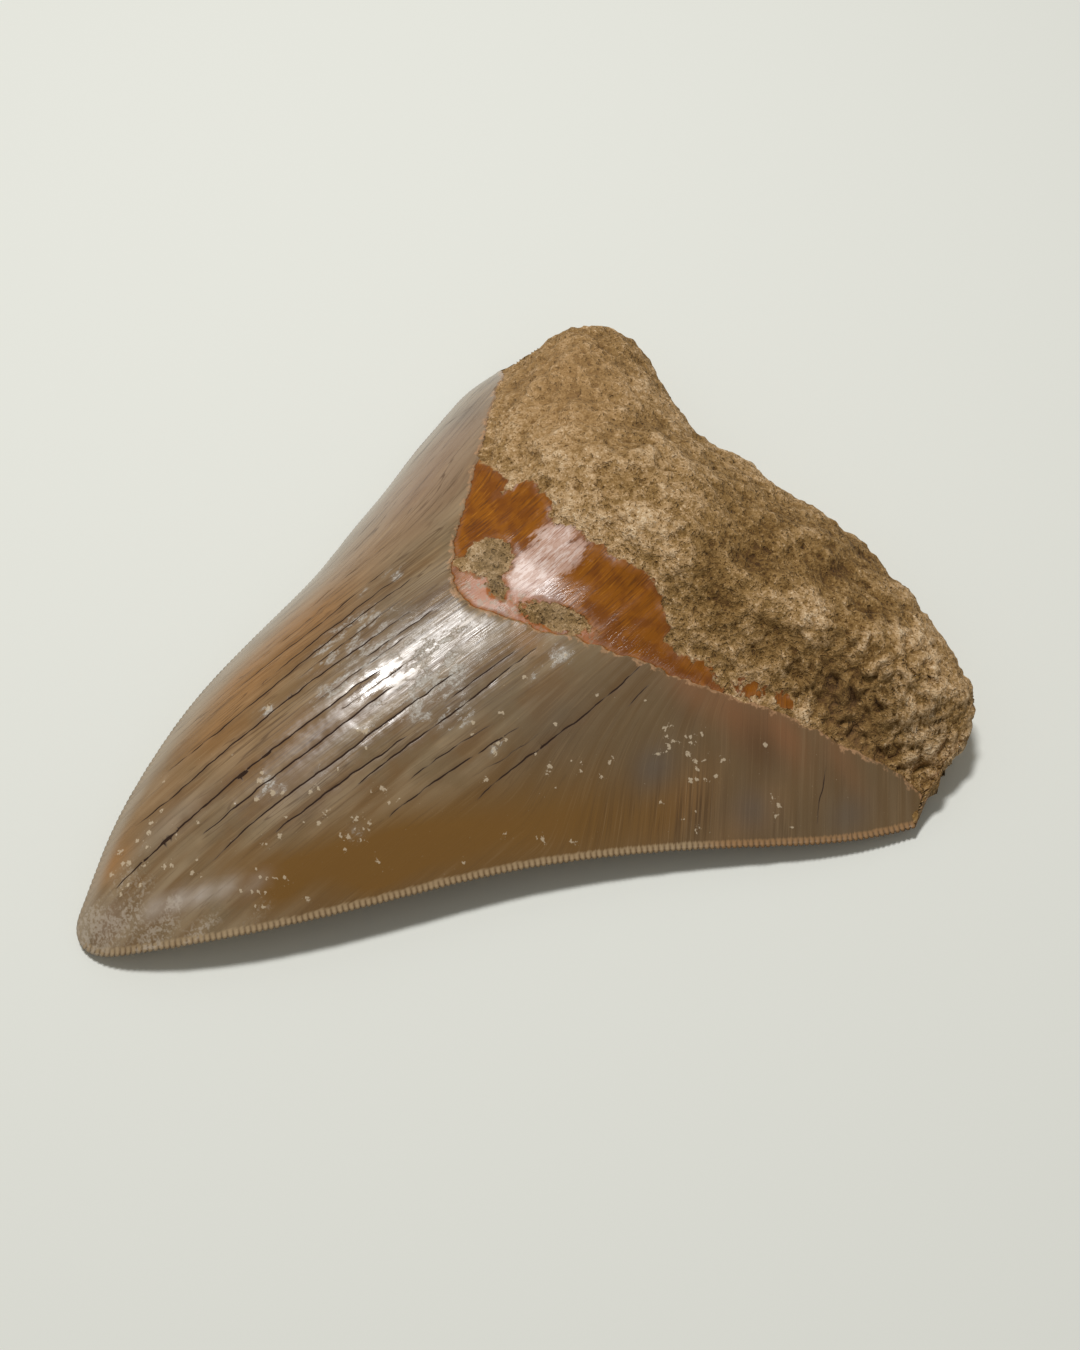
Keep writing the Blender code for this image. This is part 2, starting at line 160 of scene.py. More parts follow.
# The cracks that show in the crown, each from its end nearer the tip: points, and how dark it gapes.
CRACKS = [
    ([(-12.3, 22), (-12.1, 25.5), (-12, 32), (-12.4, 40), (-13.2, 50), (-13.8, 60), (-14, 66)], 0.9),
    ([(-8.2, 14.2), (-7.7, 19.6), (-8.1, 26.8), (-8.5, 35), (-8.9, 41.2), (-9.1, 50), (-9.3, 62)], 1.1),
    ([(-2.3, 7.5), (-2.6, 14.6), (-3.1, 23.6), (-3.6, 31.4), (-3.7, 38), (-4.1, 45.4), (-4.2, 54)], 1.3),
    ([(0.1, 21), (-0.2, 28.6), (-0.4, 35), (-0.5, 41.4), (-0.8, 46), (-1.1, 54)], 1),
    ([(3.8, 20), (3.2, 25.7), (2.8, 32), (2.9, 37.5), (2.5, 51.5), (2.3, 63.5)], 0.95),
    ([(6, 29), (5.7, 34), (5.7, 46), (5.6, 51.5)], 1),
    ([(7.2, 41.5), (6.8, 49), (6.7, 56.5), (6.1, 67), (5.6, 73.8)], 0.85),
    ([(12.9, 43), (12.6, 51), (12.8, 58.5), (13.1, 65.3)], 0.75),
    ([(10.5, 47), (10.4, 56), (10.8, 63)], 0.45),
    ([(-16.5, 35.5), (-16.8, 42), (-17.1, 50), (-17.8, 57.5), (-18.4, 66)], 0.6),
    ([(-14.1, 39.5), (-14.7, 46), (-15.1, 54), (-15.8, 65.3)], 0.75),
    ([(17.6, 54.5), (17, 60), (16.9, 67), (16.7, 73), (16.4, 79), (15.7, 85)], 0.8),
    ([(19.3, 79), (18.7, 82), (18.2, 85.6)], 0.4),
    ([(-7.1, 49), (-7.2, 57), (-7.4, 65.5)], 0.55),
    ([(4.9, 58), (4.5, 66), (4.3, 71)], 0.5),
    ([(-2.5, 46), (-2.7, 53), (-2.9, 61)], 0.6),
    ([(-5.9, 43), (-6, 51), (-6.3, 61)], 0.45),
    ([(-10.9, 43), (-11.2, 51), (-11.9, 63)], 0.5),
    ([(-18.9, 42), (-19.3, 49), (-20.6, 60)], 0.4),
    ([(-21.3, 50), (-22.4, 60), (-22.6, 69)], 0.3),
    ([(14.9, 55.5), (15.3, 63), (15.4, 69)], 0.35),
    ([(46.3, 93.3), (44.6, 94.7), (42.7, 96.8), (40.3, 99.5)], 0.4),
    ([(-42, 87.5), (-41.6, 91), (-41, 94.5)], 0.35),
]
CRACK_HALF_WIDTH = 0.17
CRACK_DEPTH = 0.06
CRACK_STEP = 0.45
STAIN_REACH = 0.7
# Places where a crack has chipped open: centre and radius.
CRACK_CHIPS = [((-2.7, 16.9), 1), ((-2.9, 19.6), 0.45), ((-8.9, 41.4), 0.6), ((-3.3, 30), 0.8),
               ((-3.6, 34.1), 0.7), ((-3.1, 23.6), 0.6), ((16.9, 66.5), 0.5), ((-2.4, 13.2), 0.35)]
# How much narrower than long such a chip is.
CHIP_NARROW = 4.4

# Round flecks of pale mineral on the enamel: x, y and radius.
FLECKS = [(33.7, 93.1, 0.36), (41, 90.2, 0.3), (39.8, 90.1, 0.22), (41.9, 89, 0.22), (32.1, 87, 0.3),
          (27.8, 86.3, 0.3), (30.6, 84.7, 0.3), (33.2, 84.8, 0.36), (27.2, 84.8, 0.24), (27.8, 84.3, 0.3),
          (26.7, 84.2, 0.2), (30, 83.5, 0.36), (28.7, 83.2, 0.4), (31, 83.1, 0.36), (32.6, 83.3, 0.25),
          (32, 82.3, 0.3), (31.6, 81.5, 0.36), (26.2, 82.3, 0.3), (25.3, 81.9, 0.25), (24.3, 82.8, 0.25),
          (26.5, 81.4, 0.3), (26.8, 80.7, 0.22), (26.4, 79.5, 0.2), (35.2, 79.8, 0.2), (35.1, 77.8, 0.16),
          (23.5, 73.2, 0.32), (24.4, 71.1, 0.26), (21.5, 69.7, 0.22), (22.3, 69, 0.32), (20.5, 68.7, 0.2),
          (19.5, 65.7, 0.36), (22, 64.9, 0.2), (17.2, 65, 0.26), (15.5, 69.6, 0.32), (15.6, 76.8, 0.26),
          (28.5, 62.9, 0.25), (44.4, 90.3, 0.18), (37, 78.4, 0.16), (19.8, 82.1, 0.2), (31.5, 76.3, 0.16),
          (10.4, 64.1, 0.26), (9.2, 60, 0.3), (10.4, 58.9, 0.2), (26.2, 59.7, 0.32), (25.7, 59, 0.2),
          (22.7, 48.7, 0.26), (22.9, 55.8, 0.16), (16.1, 57.3, 0.34), (13.5, 62.5, 0.3), (13.3, 61.4, 0.3),
          (14, 60.2, 0.36), (13.4, 60.4, 0.24), (8.1, 69.6, 0.34), (8.8, 76.2, 0.34), (9.5, 44.6, 0.36),
          (9, 43, 0.2), (11.4, 44.3, 0.26), (11.8, 45.8, 0.16), (12.1, 40.6, 0.32), (10.6, 39.4, 0.32),
          (11.5, 38.5, 0.2), (12.1, 39.5, 0.2), (13, 38.4, 0.22), (11.8, 37.2, 0.4), (11.1, 36.4, 0.3),
          (12.9, 36, 0.26), (16.6, 38.9, 0.26), (8.3, 34.9, 0.32), (7.6, 36.5, 0.2), (7.1, 33.2, 0.22),
          (5.1, 31.6, 0.26), (4.6, 37.3, 0.3), (4.4, 36.2, 0.36), (4, 40.9, 0.22), (3.9, 45.7, 0.22),
          (2, 46.9, 0.4), (1.3, 46.2, 0.26), (0.7, 29.6, 0.4), (-1.1, 31.4, 0.4), (-1.9, 32.2, 0.3),
          (1.4, 31.9, 0.4), (2.2, 33, 0.3), (-0.6, 26.8, 0.18), (11, 27.2, 0.26), (10.6, 26.3, 0.2),
          (9.8, 25.1, 0.26), (9.2, 24.5, 0.2), (8.2, 24.6, 0.22), (11.1, 24, 0.2), (10.5, 23.3, 0.22),
          (10, 22.5, 0.26), (12.3, 22.8, 0.26), (9.1, 21.4, 0.26), (11.6, 22, 0.2), (2.4, 18.7, 0.2),
          (3.3, 17.3, 0.32), (4.5, 18, 0.2), (0.8, 15.6, 0.3), (0.2, 14.6, 0.36), (6.6, 29.5, 0.36),
          (6.4, 27.5, 0.2), (14.8, 28.4, 0.3), (-1.6, 21.6, 0.2), (-2.3, 18.3, 0.24), (-6.6, 16.4, 0.3),
          (-5.5, 15.5, 0.36), (-3.8, 14.2, 0.3), (-5.8, 13.6, 0.3), (-7.1, 18.4, 0.26), (-3.9, 11.1, 0.42),
          (-4.6, 10.3, 0.3), (-1.4, 9.3, 0.3), (-1, 7.9, 0.3), (-4.6, 8.3, 0.36), (0, 10.7, 0.3),
          (-6.4, 11.3, 0.2), (-11.1, 21, 0.2), (-7, 30.5, 0.2), (-1.8, 12.5, 0.2), (-9.7, 38, 0.36)]
FLECK_HEIGHT = 0.04

# How finely the faces are cut up.
CROWN_GRID = 0.95
ROOT_GRID = 0.42
EDGE_RINGS = [(0.18, 0.134), (0.45, 0.134), (0.85, 0.27), (1.35, 0.45), (2.1, 0.75)]
MARGIN_STEP = 0.5
RIM_ANGLES = np.arange(5.0, 88.0, 2.4)
LINE_OFFSETS = (-0.32, -0.1, 0.1, 0.32, 0.65)
LINE_STEP = 0.36

# Tints of the crown, the neck and the root, as soft spots: centre, spreads and strength.
TINTS = {
    "amber": [(8, 24, 2.4, 3.5, 0.6), (12.5, 25.5, 2, 4, 0.6), (18, 37.5, 2.2, 5, 0.5),
        (10.5, 27.5, 2.8, 4.5, 0.8), (13, 34, 4.2, 6, 1), (16.5, 42, 4.5, 7, 1), (20, 50, 4.8, 8, 0.9),
        (24, 59, 5, 8, 0.8), (28.5, 67, 5, 7, 0.8), (33, 75, 4, 5.5, 0.7), (5, 22, 2.5, 4, 0.3)],
    "warm": [(-9, 16, 2.5, 6, 0.35), (-17, 40, 5, 10, 0.9), (-20, 53, 4.5, 8, 0.8), (-12, 29, 4, 8, 0.6),
        (-6.5, 8.5, 2.6, 5, 1), (-24, 66, 4, 8, 0.35), (-5, 36, 4, 8, 0.3), (33, 79, 3, 6, 0.5),
        (3.5, 73, 2.5, 2, 0.8), (40, 86, 2.5, 6, 0.4)],
    "pink": [(22, 88.5, 4, 2.5, 0.7), (28.5, 92, 5, 2.8, 0.9), (34, 96.3, 4.5, 2.5, 1),
        (41, 101.5, 4.5, 2, 0.5), (-36, 84, 7, 12, 0.35), (-29, 76, 6, 8, 0.35)],
    # Painted shade: spots of the crown darkened as if less light fell on them.
    "shade": [(33.5, 92.5, 4.5, 3, 0.9), (-8.7, 64.8, 2.6, 4, 0.8), (0.1, 42.2, 2.5, 3.5, 0.4),
        (24, 86, 3, 2, 0.3), (42, 99, 4, 2, 0.3)],
    "slate": [(27.5, 78, 2.6, 3.4, 1), (39.5, 86.5, 2.8, 3.2, 1), (47.5, 98, 2.5, 3.5, 0.8),
        (14.5, 70, 4.5, 5.5, 0.35), (6, 62, 5, 8, 0.4), (-41, 92, 4, 4, 0.7), (-11, 60, 6, 8, 0.4),
        (-46.5, 101, 3, 4, 0.6)],
    "film": [(-3, 51.5, 3.2, 4.8, 0.9), (-0.5, 62, 4, 7.5, 1), (4.2, 57, 2.6, 4.5, 0.9),
        (-6, 46, 1.6, 4, 0.7), (-16.7, 64.2, 1.5, 2, 1), (-17.3, 59, 0.8, 1.5, 0.8),
        (-9.6, 37.2, 1.2, 1.9, 1), (-11.3, 47.5, 1.3, 3.5, 0.7), (0.6, 32, 2.8, 2.2, 0.8),
        (2.6, 38.5, 1.6, 2, 0.5), (2, 47, 1, 2.4, 0.7), (8.2, 75.3, 2.1, 2.3, 1), (8.8, 71, 1, 1.8, 0.9),
        (13.8, 60.8, 0.8, 1.8, 0.9), (8, 58.5, 1.4, 2.6, 0.8), (-9, 56, 4, 8, 0.6),
        (-13.5, 54, 2.5, 7, 0.5), (12, 38.3, 1.6, 2.2, 0.5), (-4.2, 13.5, 2.2, 3.5, 0.45)],
    "worn": [(-0.5, 2.5, 3.6, 3, 1), (2.4, 7, 2.2, 3.2, 0.8), (6.5, 9, 1.5, 4, 0.9),
        (4.8, 13, 0.9, 1.2, 1.2), (9.6, 14.5, 1.2, 4, 0.7), (-2.6, 9.5, 2, 3, 0.5),
        (0.5, 11.5, 1.5, 2.5, 0.4), (12.5, 22, 1.2, 4, 0.4)],
    # Painted highlight: a pale gleam along the worn face by the tip, with fainter spots of it higher on
    # the crown.
    "painted_gleam": [(3.6, 10.6, 1.2, 1.9, 0.8), (5, 13.8, 1, 1.8, 1.1), (6.3, 16.7, 0.9, 1.8, 1.1),
        (7.6, 19.8, 0.9, 2, 0.8), (9.4, 23.5, 1, 2.2, 0.4), (-4.5, 19, 2, 6, 0.25), (3, 36, 4, 6, 0.15),
        (0.5, 4.5, 3, 3, 0.3)],
    "gloss": [(-3.2, 51.5, 2.3, 4.8, 1.2), (-0.3, 67.5, 2.2, 4.6, 0.62), (-1.5, 60, 1.2, 3, 0.3)],
    "striae": [(34.5, 79, 5, 6.5, 1), (29, 70, 3.5, 6, 0.5), (43.5, 89, 3, 4, 0.6)],
    # Partly painted sheen: a pinkish film on the neck, painted pale cream where a highlight lies on it.
    "pink_film_and_sheen": [(-6, 85.3, 1.7, 3.4, 1), (-3.6, 81, 2.2, 5.2, 1.2), (-5.4, 79.6, 2, 2.2, 0.9),
        (-1.5, 86, 1.6, 3, 0.5), (-8.3, 83.5, 1, 2.5, 0.5)],
    "skin": [(-6, 72.4, 3.4, 2.6, 1), (0.5, 75.6, 4.4, 2.3, 0.9), (8, 80.5, 3, 1.2, 0.6)],
    "sand": [(-9.8, 76.2, 4, 4, 0.2), (3.4, 78.4, 6, 3, 0.3), (25.5, 109, 6, 4.8, 0.75),
        (38.5, 119.5, 7, 5, 0.9), (-5, 92.5, 14, 5, 0.5), (32, 102, 5, 3, 0.2), (-22, 89.5, 5, 2.5, 0.5),
        (3, 96.5, 3, 1.6, 0.5), (21.5, 109.5, 1.6, 3, 0.5)],
    "umber": [(23.5, 100.5, 4.6, 3.6, 0.6), (15, 98.5, 7, 4, 0.7), (42.5, 105, 5, 2.6, 0.9),
        (17, 114, 10, 9, 1.2), (37.5, 105, 5, 3, 0.6), (29, 115, 1.8, 9, 1.1), (39, 107, 7, 3.2, 0.9),
        (30.5, 104, 3, 2.5, 0.5)],
    "grey": [(-9.8, 76, 4.2, 4.2, 1), (3.4, 78.4, 6, 3, 0.8), (-5.4, 74.3, 2, 1.5, 0.8)],
    "ochre": [(-34, 106, 13, 12, 1), (-20, 100, 9, 8, 0.5), (40, 105, 8, 3, 0.5)],
}
# Tints of the crown that the labial face has at half strength.
CROWN_TINTS = ("amber", "warm", "pink", "shade", "slate", "film", "worn", "painted_gleam", "striae")
# Of these, the ones that are laid straight over the enamel's colour, and how strongly. Most are stains;
# the fourth is painted shade and the fifth a painted highlight.
CROWN_STAINS = (("amber", 0.95), ("slate", 0.7), ("pink", 0.75), ("shade", 0.6), ("painted_gleam", 0.85))

# The grain of the enamel leans out towards the cutting edges beside the root.
LEAN_ALL = 0.035
LEAN_START, LEAN_EASE, LEAN_WIDTH = 58.0, 12.0, 20.0
LEAN_RIGHT, LEAN_RIGHT_FROM = 1.3, 8.0
LEAN_LEFT, LEAN_LEFT_FROM = 0.4, 12.0

# Colours by their 0 to 255 values on a screen: the crown's, the neck's, the root's and the floor's.
COLOURS = {
    "enamel": (120, 92, 58), "pale enamel": (150, 128, 98), "cloud": (124, 106, 78),
    # The pale colour for the upper left slope of the crown, on the next line, is a painted sheen.
    "painted_flank_sheen": (158, 138, 116), "right side": (104, 82, 54), "left rim": (164, 148, 126),
    "warm": (160, 115, 66), "amber": (122, 86, 36), "slate": (98, 87, 76), "pink": (140, 94, 60),
    # On the next line, the pale grey after the shade colour is a painted highlight.
    "shade": (78, 54, 30), "painted_gleam": (184, 170, 156), "streak": (84, 60, 34),
    "pale streak": (176, 148, 112), "vein": (74, 50, 28), "stain": (98, 66, 34),
    "furrow": (72, 50, 28), "bead": (182, 156, 120), "upper bead": (172, 130, 86),
    "notch": (84, 60, 36), "frost": (150, 141, 128), "flake": (194, 188, 177),
    "worn": (192, 178, 160), "fleck": (206, 188, 160), "gash": (42, 20, 0), "lip": (184, 142, 104),
    "deep orange": (124, 67, 0), "orange": (144, 83, 0), "brown streak": (84, 42, 0),
    "gold streak": (192, 124, 34), "skin": (172, 96, 40), "pale skin": (150, 124, 92),
    # The cream and dull cream on the next line are the neck's pinkish film with a painted sheen.
    "cream": (226, 202, 190), "dull cream": (196, 158, 138), "cream streak": (150, 92, 62),
    "ochre": (192, 150, 100), "grey": (128, 120, 102), "floor": (230, 231, 224),
}
# The bone's colours from its darkest to its palest tone.
BONE_PALETTE = [(0.0, (82, 52, 12)), (0.22, (116, 84, 34)), (0.45, (152, 118, 68)),
                (0.62, (184, 149, 104)), (0.8, (214, 183, 142)), (1.0, (236, 212, 176))]
BONE_TONE = -0.57
BONE_ROUGHNESS = 0.9
FOSSIL_IOR = 1.49

FLOOR_HALF = 6.0
FLOOR_ROUGHNESS = 0.9
FLOOR_SPECULAR = 0.1

# The lamp: the way to it from the tooth, how far it is, its width and length, and its power in watts.
LAMP_WAY = (-0.27, 0.05, 0.96)
LAMP_DISTANCE = 0.7
LAMP_SIZE = (0.08, 0.14)
LAMP_POWER = 3.5
WORLD_COLOUR = (0.985, 0.97, 0.9, 1.0)
WORLD_STRENGTH = 0.25

CAMERA_AZIMUTH = 54.25
CAMERA_ELEVATION = 60.0
CAMERA_DISTANCE = 0.2585
CAMERA_TARGET = (-0.00104, 0.01307, 0.0)
CAMERA_LENS = 45.33
CAMERA_NEAREST = 0.01


def spline(points, step):
    """A smooth curve through the points, as points about a step apart along it."""
    knots = np.array(points, float)
    chord = along_line(knots)
    gaps = np.diff(chord)
    size = len(knots)
    system = np.eye(size)
    right = np.zeros((size, 2))
    for i in range(1, size - 1):
        system[i, i - 1:i + 2] = gaps[i - 1], 2 * (gaps[i - 1] + gaps[i]), gaps[i]
        right[i] = 6 * ((knots[i + 1] - knots[i]) / gaps[i] - (knots[i] - knots[i - 1]) / gaps[i - 1])
    bend = np.linalg.solve(system, right)
    at = np.linspace(0.0, chord[-1], 40 * size)
    k = np.clip(np.searchsorted(chord, at, side="right") - 1, 0, size - 2)
    a = ((chord[k + 1] - at) / gaps[k])[:, None]
    b = 1 - a
    curve = a * knots[k] + b * knots[k + 1]
    curve += ((a ** 3 - a) * bend[k] + (b ** 3 - b) * bend[k + 1]) * (gaps[k] ** 2 / 6)[:, None]
    return evenly(curve, round(length_of(curve) / step) + 1)


def evenly(curve, count):
    """The same polyline, as count points at equal steps along it."""
    along = along_line(curve)
    steps = np.linspace(0.0, along[-1], count)
    return np.stack([np.interp(steps, along, curve[:, 0]), np.interp(steps, along, curve[:, 1])], 1)


def along_line(curve):
    """How far along a polyline each of its points is."""
    return np.concatenate([[0.0], np.cumsum(np.hypot(*np.diff(curve, axis=0).T))])


def length_of(curve):
    return float(np.hypot(*np.diff(curve, axis=0).T).sum())


def smoothstep(value):
    t = np.clip(value, 0.0, 1.0)
    return t * t * (3 - 2 * t)


def distance_to(points, curve):
    """How far each point is from a polyline."""
    start, step = curve[:-1], np.diff(curve, axis=0)
    square = (step ** 2).sum(1)
    least = np.empty(len(points))
    for i in range(0, len(points), 2000):
        offset = points[i:i + 2000, None] - start
        share = np.clip((offset * step).sum(2) / square, 0.0, 1.0)
        gap = offset - share[..., None] * step
        least[i:i + 2000] = np.sqrt((gap ** 2).sum(2).min(1))
    return least


def tree_of(points):
    tree = kdtree.KDTree(len(points))
    for i, (x, y) in enumerate(points):
        tree.insert((x, y, 0.0), i)
    tree.balance()
    return tree


def nearest(points, tree):
    """The index of the tree's nearest point, and how far it is, for each point."""
    found = [tree.find((x, y, 0.0)) for x, y in points]
    return np.array([f[1] for f in found]), np.array([f[2] for f in found])


def outward(curve):
    """Unit normals on the right-hand side of a polyline."""
    along = np.gradient(curve, axis=0)
    along /= np.hypot(*along.T)[:, None]
    return np.stack([along[:, 1], -along[:, 0]], 1)


def noise_at(points, size, offset=(0.0, 0.0, 0.0)):
    """Smooth noise from about -1 to 1 whose waves are about twice the size."""
    shift = Vector(offset)
    return np.array([noise.noise(Vector(p) / size + shift) for p in points])


def flat_noise(points, size, offset=0.0):
    return np.array([noise.noise(Vector((x / size, y / size, offset))) for x, y in points])


CUTTING_EDGE = spline([SHOULDER_LEFT] + EDGE_LEFT + EDGE_TIP + EDGE_RIGHT + [SHOULDER_RIGHT], 0.26)
MARGIN = spline([SHOULDER_RIGHT] + ROOT_MARGIN + [SHOULDER_LEFT], 0.4)
LABIAL_CURVE = spline(LABIAL_LINE, 0.5)
TIP_INDEX = int(CUTTING_EDGE[:, 1].argmin())
SERRATIONS = round(length_of(CUTTING_EDGE) / SERRATION_PITCH)
EDGE_SAMPLES = evenly(CUTTING_EDGE, SERRATIONS * SERRATION_STEPS + 1)
EDGE_TREE = tree_of(EDGE_SAMPLES)


def chipped(curve, amount, seed):
    """The same line with an irregular, broken course."""
    shift = sum(flat_noise(curve, size, seed + size) * height for size, height in BREAK_WAVES)
    return curve + outward(curve) * (shift * amount)[:, None]


CHEVRON_LINE = chipped(spline(CHEVRON, 0.25), 0.8, 3.0)
CRUST_LINE = chipped(evenly(np.array(CRUST), 500), 0.9, 8.0)


def serration_lobe(phase):
    """1 on top of a serration and 0 in a notch, for a count of serrations along the edge."""
    return np.abs(np.sin(math.pi * phase)) ** 0.6


def serration_wear(phase):
    """Serrations differ in size. Those by the tip and along the left edge are worn low."""
    uneven = np.array([noise.noise(Vector((p * 0.31, 4.0, 0.0))) for p in phase])
    past_tip = (phase - TIP_INDEX / (len(CUTTING_EDGE) - 1) * SERRATIONS) * SERRATION_PITCH
    side = np.where(past_tip < 0, LEFT_WEAR, 1.0)
    return side * (0.8 + 0.35 * uneven) * (0.35 + 0.65 * smoothstep(np.abs(past_tip) / 9.0))


def edge_sides(y):
    """The x of the left and right cutting edges at a height y above the tip."""
    left = CUTTING_EDGE[:TIP_INDEX + 1][::-1]
    right = CUTTING_EDGE[TIP_INDEX:]
    return np.interp(y, left[:, 1], left[:, 0]), np.interp(y, right[:, 1], right[:, 0])


def edge_height(y):
    """The cutting edges arch up off the table between the tip and the shoulders."""
    rise = 1 - np.exp(-np.maximum(y, 0.0) / ARCH_RISE)
    fall = np.cos(math.pi / 2 * np.clip((y - ARCH_CREST) / ARCH_FALL, 0.0, 1.0))
    return TIP_LIFT + EDGE_ARCH * rise * fall


def rim_height(y):
    """The height at which the upper and lower faces meet."""
    root = smoothstep((y - ROOT_RIM_FROM) / ROOT_RIM_OVER)
    return edge_height(y) * (1 - root) + ROOT_RIM * root


def across(x, y):
    """0 on either cutting edge and 1 on the ridge that runs up the crown."""
    left, right = edge_sides(y)
    share = np.clip((x - left) / (right - left + 1e-9), 0.0, 1.0)
    ridge_x = RIDGE_LEAN * np.clip(y / CROWN_BASE, 0.0, 1.0)
    ridge = np.clip((ridge_x - left) / (right - left + 1e-9), 0.3, 0.7)
    skewed = share ** (math.log(0.5) / np.log(ridge))
    return 4 * skewed * (1 - skewed)


def crown_top(x, y):
    swell = (1 - np.exp(-y / CROWN_SWELL)) / (1 - math.exp(-CROWN_BASE / CROWN_SWELL))
    return edge_height(y) + CROWN_THICKNESS * np.maximum(swell, 0.0) * across(x, y) ** CROWN_EDGE_POWER


def rounded(distance, radius):
    """0 on the margin and 1 once inside it by the radius, along a quarter of a circle."""
    return np.sqrt(1 - (1 - np.clip(distance / radius, 0.0, 1.0)) ** 2)


def root_top(x, y, to_margin):
    boss_x = (x - BOSS_CENTRE[0]) / BOSS_SPREAD[0]
    boss_y = (y - BOSS_CENTRE[1]) / BOSS_SPREAD[1]
    full = LOBE_TOP + ROOT_BOSS * np.exp(-boss_x ** 2 - boss_y ** 2)
    rim = rim_height(y)
    return rim + (full - rim) * rounded(to_margin, RIM_ROUND_TOP)


def spots(x, y, places):
    """The sum of soft round hills, each given as a centre, two spreads and a height."""
    total = np.zeros(len(x))
    for middle_x, middle_y, spread_x, spread_y, height in places:
        total += height * np.exp(-((x - middle_x) / spread_x) ** 2 - ((y - middle_y) / spread_y) ** 2)
    return total


def past_line(x, y, line):
    """How far a point lies past the end of the enamel, towards the root."""
    order = np.argsort(line[:, 0])
    return (y - np.interp(x, line[order, 0], line[order, 1])) * LINE_SLANT


def inside_patch(x, y, patch):
    """How far inside an oval patch a point lies, below zero outside it."""
    (middle_x, middle_y), (long_radius, short_radius), turn = patch
    c, s = math.cos(math.radians(turn)), math.sin(math.radians(turn))
    u = ((x - middle_x) * c + (y - middle_y) * s) / long_radius
    v = ((y - middle_y) * c - (x - middle_x) * s) / short_radius
    return (1 - np.hypot(u, v)) * min(long_radius, short_radius)


def bare_neck(points):
    """How far inside the bare neck a point lies, below zero where crust or enamel covers it."""
    x, y = points.T
    torn = sum(height * flat_noise(points, size, layer) for size, height, layer in TORN_WAVES)
    past = past_line(x, y, CHEVRON_LINE)
    depth = np.minimum(past, -past_line(x, y, CRUST_LINE) + torn)
    for patch in NECK_CRUSTS:
        depth = np.minimum(depth, -inside_patch(x, y, patch) + 1.6 * torn)
    for patch in NECK_SHREDS:
        depth = np.maximum(depth, np.minimum(past, inside_patch(x, y, patch) + 2.2 * torn))
    return depth


def ribs(points, distance, index):
    """The low ridges behind the serrations."""
    phase = index / SERRATION_STEPS
    lobe = serration_lobe(phase) - 0.55
    return RIB_HEIGHT * lobe * serration_wear(phase) * np.exp(-(distance / RIB_REACH) ** 2)


def lingual_height(points):
    """The upper face."""
    x, y = points.T
    to_margin = distance_to(points, MARGIN)
    past = past_line(x, y, CHEVRON_LINE)
    middle = np.exp(-((x - RIDGE_LEAN) / CLIMB_SPREAD) ** 2)
    climb = ROOT_CLIMB_SIDE + (ROOT_CLIMB_MIDDLE - ROOT_CLIMB_SIDE) * middle
    crown = crown_top(x, y)
    root = root_top(x, y, to_margin)
    height = crown + (root - crown) * smoothstep(past / climb)
    height += spots(x, y, ROOT_FORMS) * smoothstep(past / 3)
    height += spots(x, y, CROWN_FORMS) * smoothstep(-past)
    height -= LEDGE * smoothstep(past / LEDGE_WIDTH + 0.5) * smoothstep(3 - past / 4)
    crust = smoothstep(0.5 - bare_neck(points) / CRUST_STEP_WIDTH)
    return height + CRUST_STEP * crust * smoothstep(past / 0.8) * smoothstep(3 - past / 8)


def labial_height(points):
    """The lower face: flat where it is worn, hollow under the crown, rounded under the root."""
    x, y = points.T
    to_margin = distance_to(points, MARGIN)
    edge = edge_height(y)
    share = np.clip((y - HOLLOW_FROM) / (HOLLOW_TO - HOLLOW_FROM), 0.0, 1.0)
    hollow = HOLLOW_UNDER * np.sin(math.pi * share)
    crown = hollow + (edge - hollow) * (1 - across(x, y)) ** HOLLOW_POWER
    root = rim_height(y) * (1 - rounded(to_margin, RIM_ROUND_BASE))
    past = past_line(x, y, LABIAL_CURVE)
    step = BASE_STEP * np.exp(-(past / BASE_STEP_WIDTH) ** 2)
    height = crown + (root - crown) * smoothstep(past / BASE_CLIMB) + step
    return np.maximum(height - BASE_WEAR, 0.0)


def crack_lines():
    """Each crack as points along it, with how strong it is at each one."""
    lines = []
    for number, (points, gape) in enumerate(CRACKS):
        curve = spline(points, CRACK_STEP)
        wobble = 0.2 * flat_noise(curve, 2.3, number) + 0.1 * flat_noise(curve, 0.8, number + 0.5)
        curve = curve + outward(curve) * wobble[:, None]
        along = np.linspace(0.0, 1.0, len(curve))
        broken = 0.8 + 0.8 * flat_noise(curve, 1.9, number + 20.0)
        lines.append((curve, np.clip(np.sin(math.pi * along) ** 0.4 * broken, 0.0, 1.0) * gape))
    return lines


def crack_fields(points, cracks):
    """How deep each point lies in a crack, and how much brown stain has crept out beside one."""
    deep, stain = np.zeros(len(points)), np.zeros(len(points))
    for curve, strength in cracks:
        close, reach = nearest(points, tree_of(curve))
        gap = np.abs(((points - curve[close]) * outward(curve)[close]).sum(1))
        gap = np.where(reach < 1.5 * CRACK_STEP, gap, reach)
        deep = np.maximum(deep, np.clip(1 - gap / CRACK_HALF_WIDTH, 0.0, 1.0) * strength[close])
        stain = np.maximum(stain, np.exp(-(gap / STAIN_REACH) ** 2) * strength[close])
    for (x, y), radius in CRACK_CHIPS:
        share = 1.4 - np.hypot((points[:, 0] - x) * CHIP_NARROW, points[:, 1] - y) / radius
        deep = np.maximum(deep, np.clip(share, 0.0, 1.0))
    return deep, stain


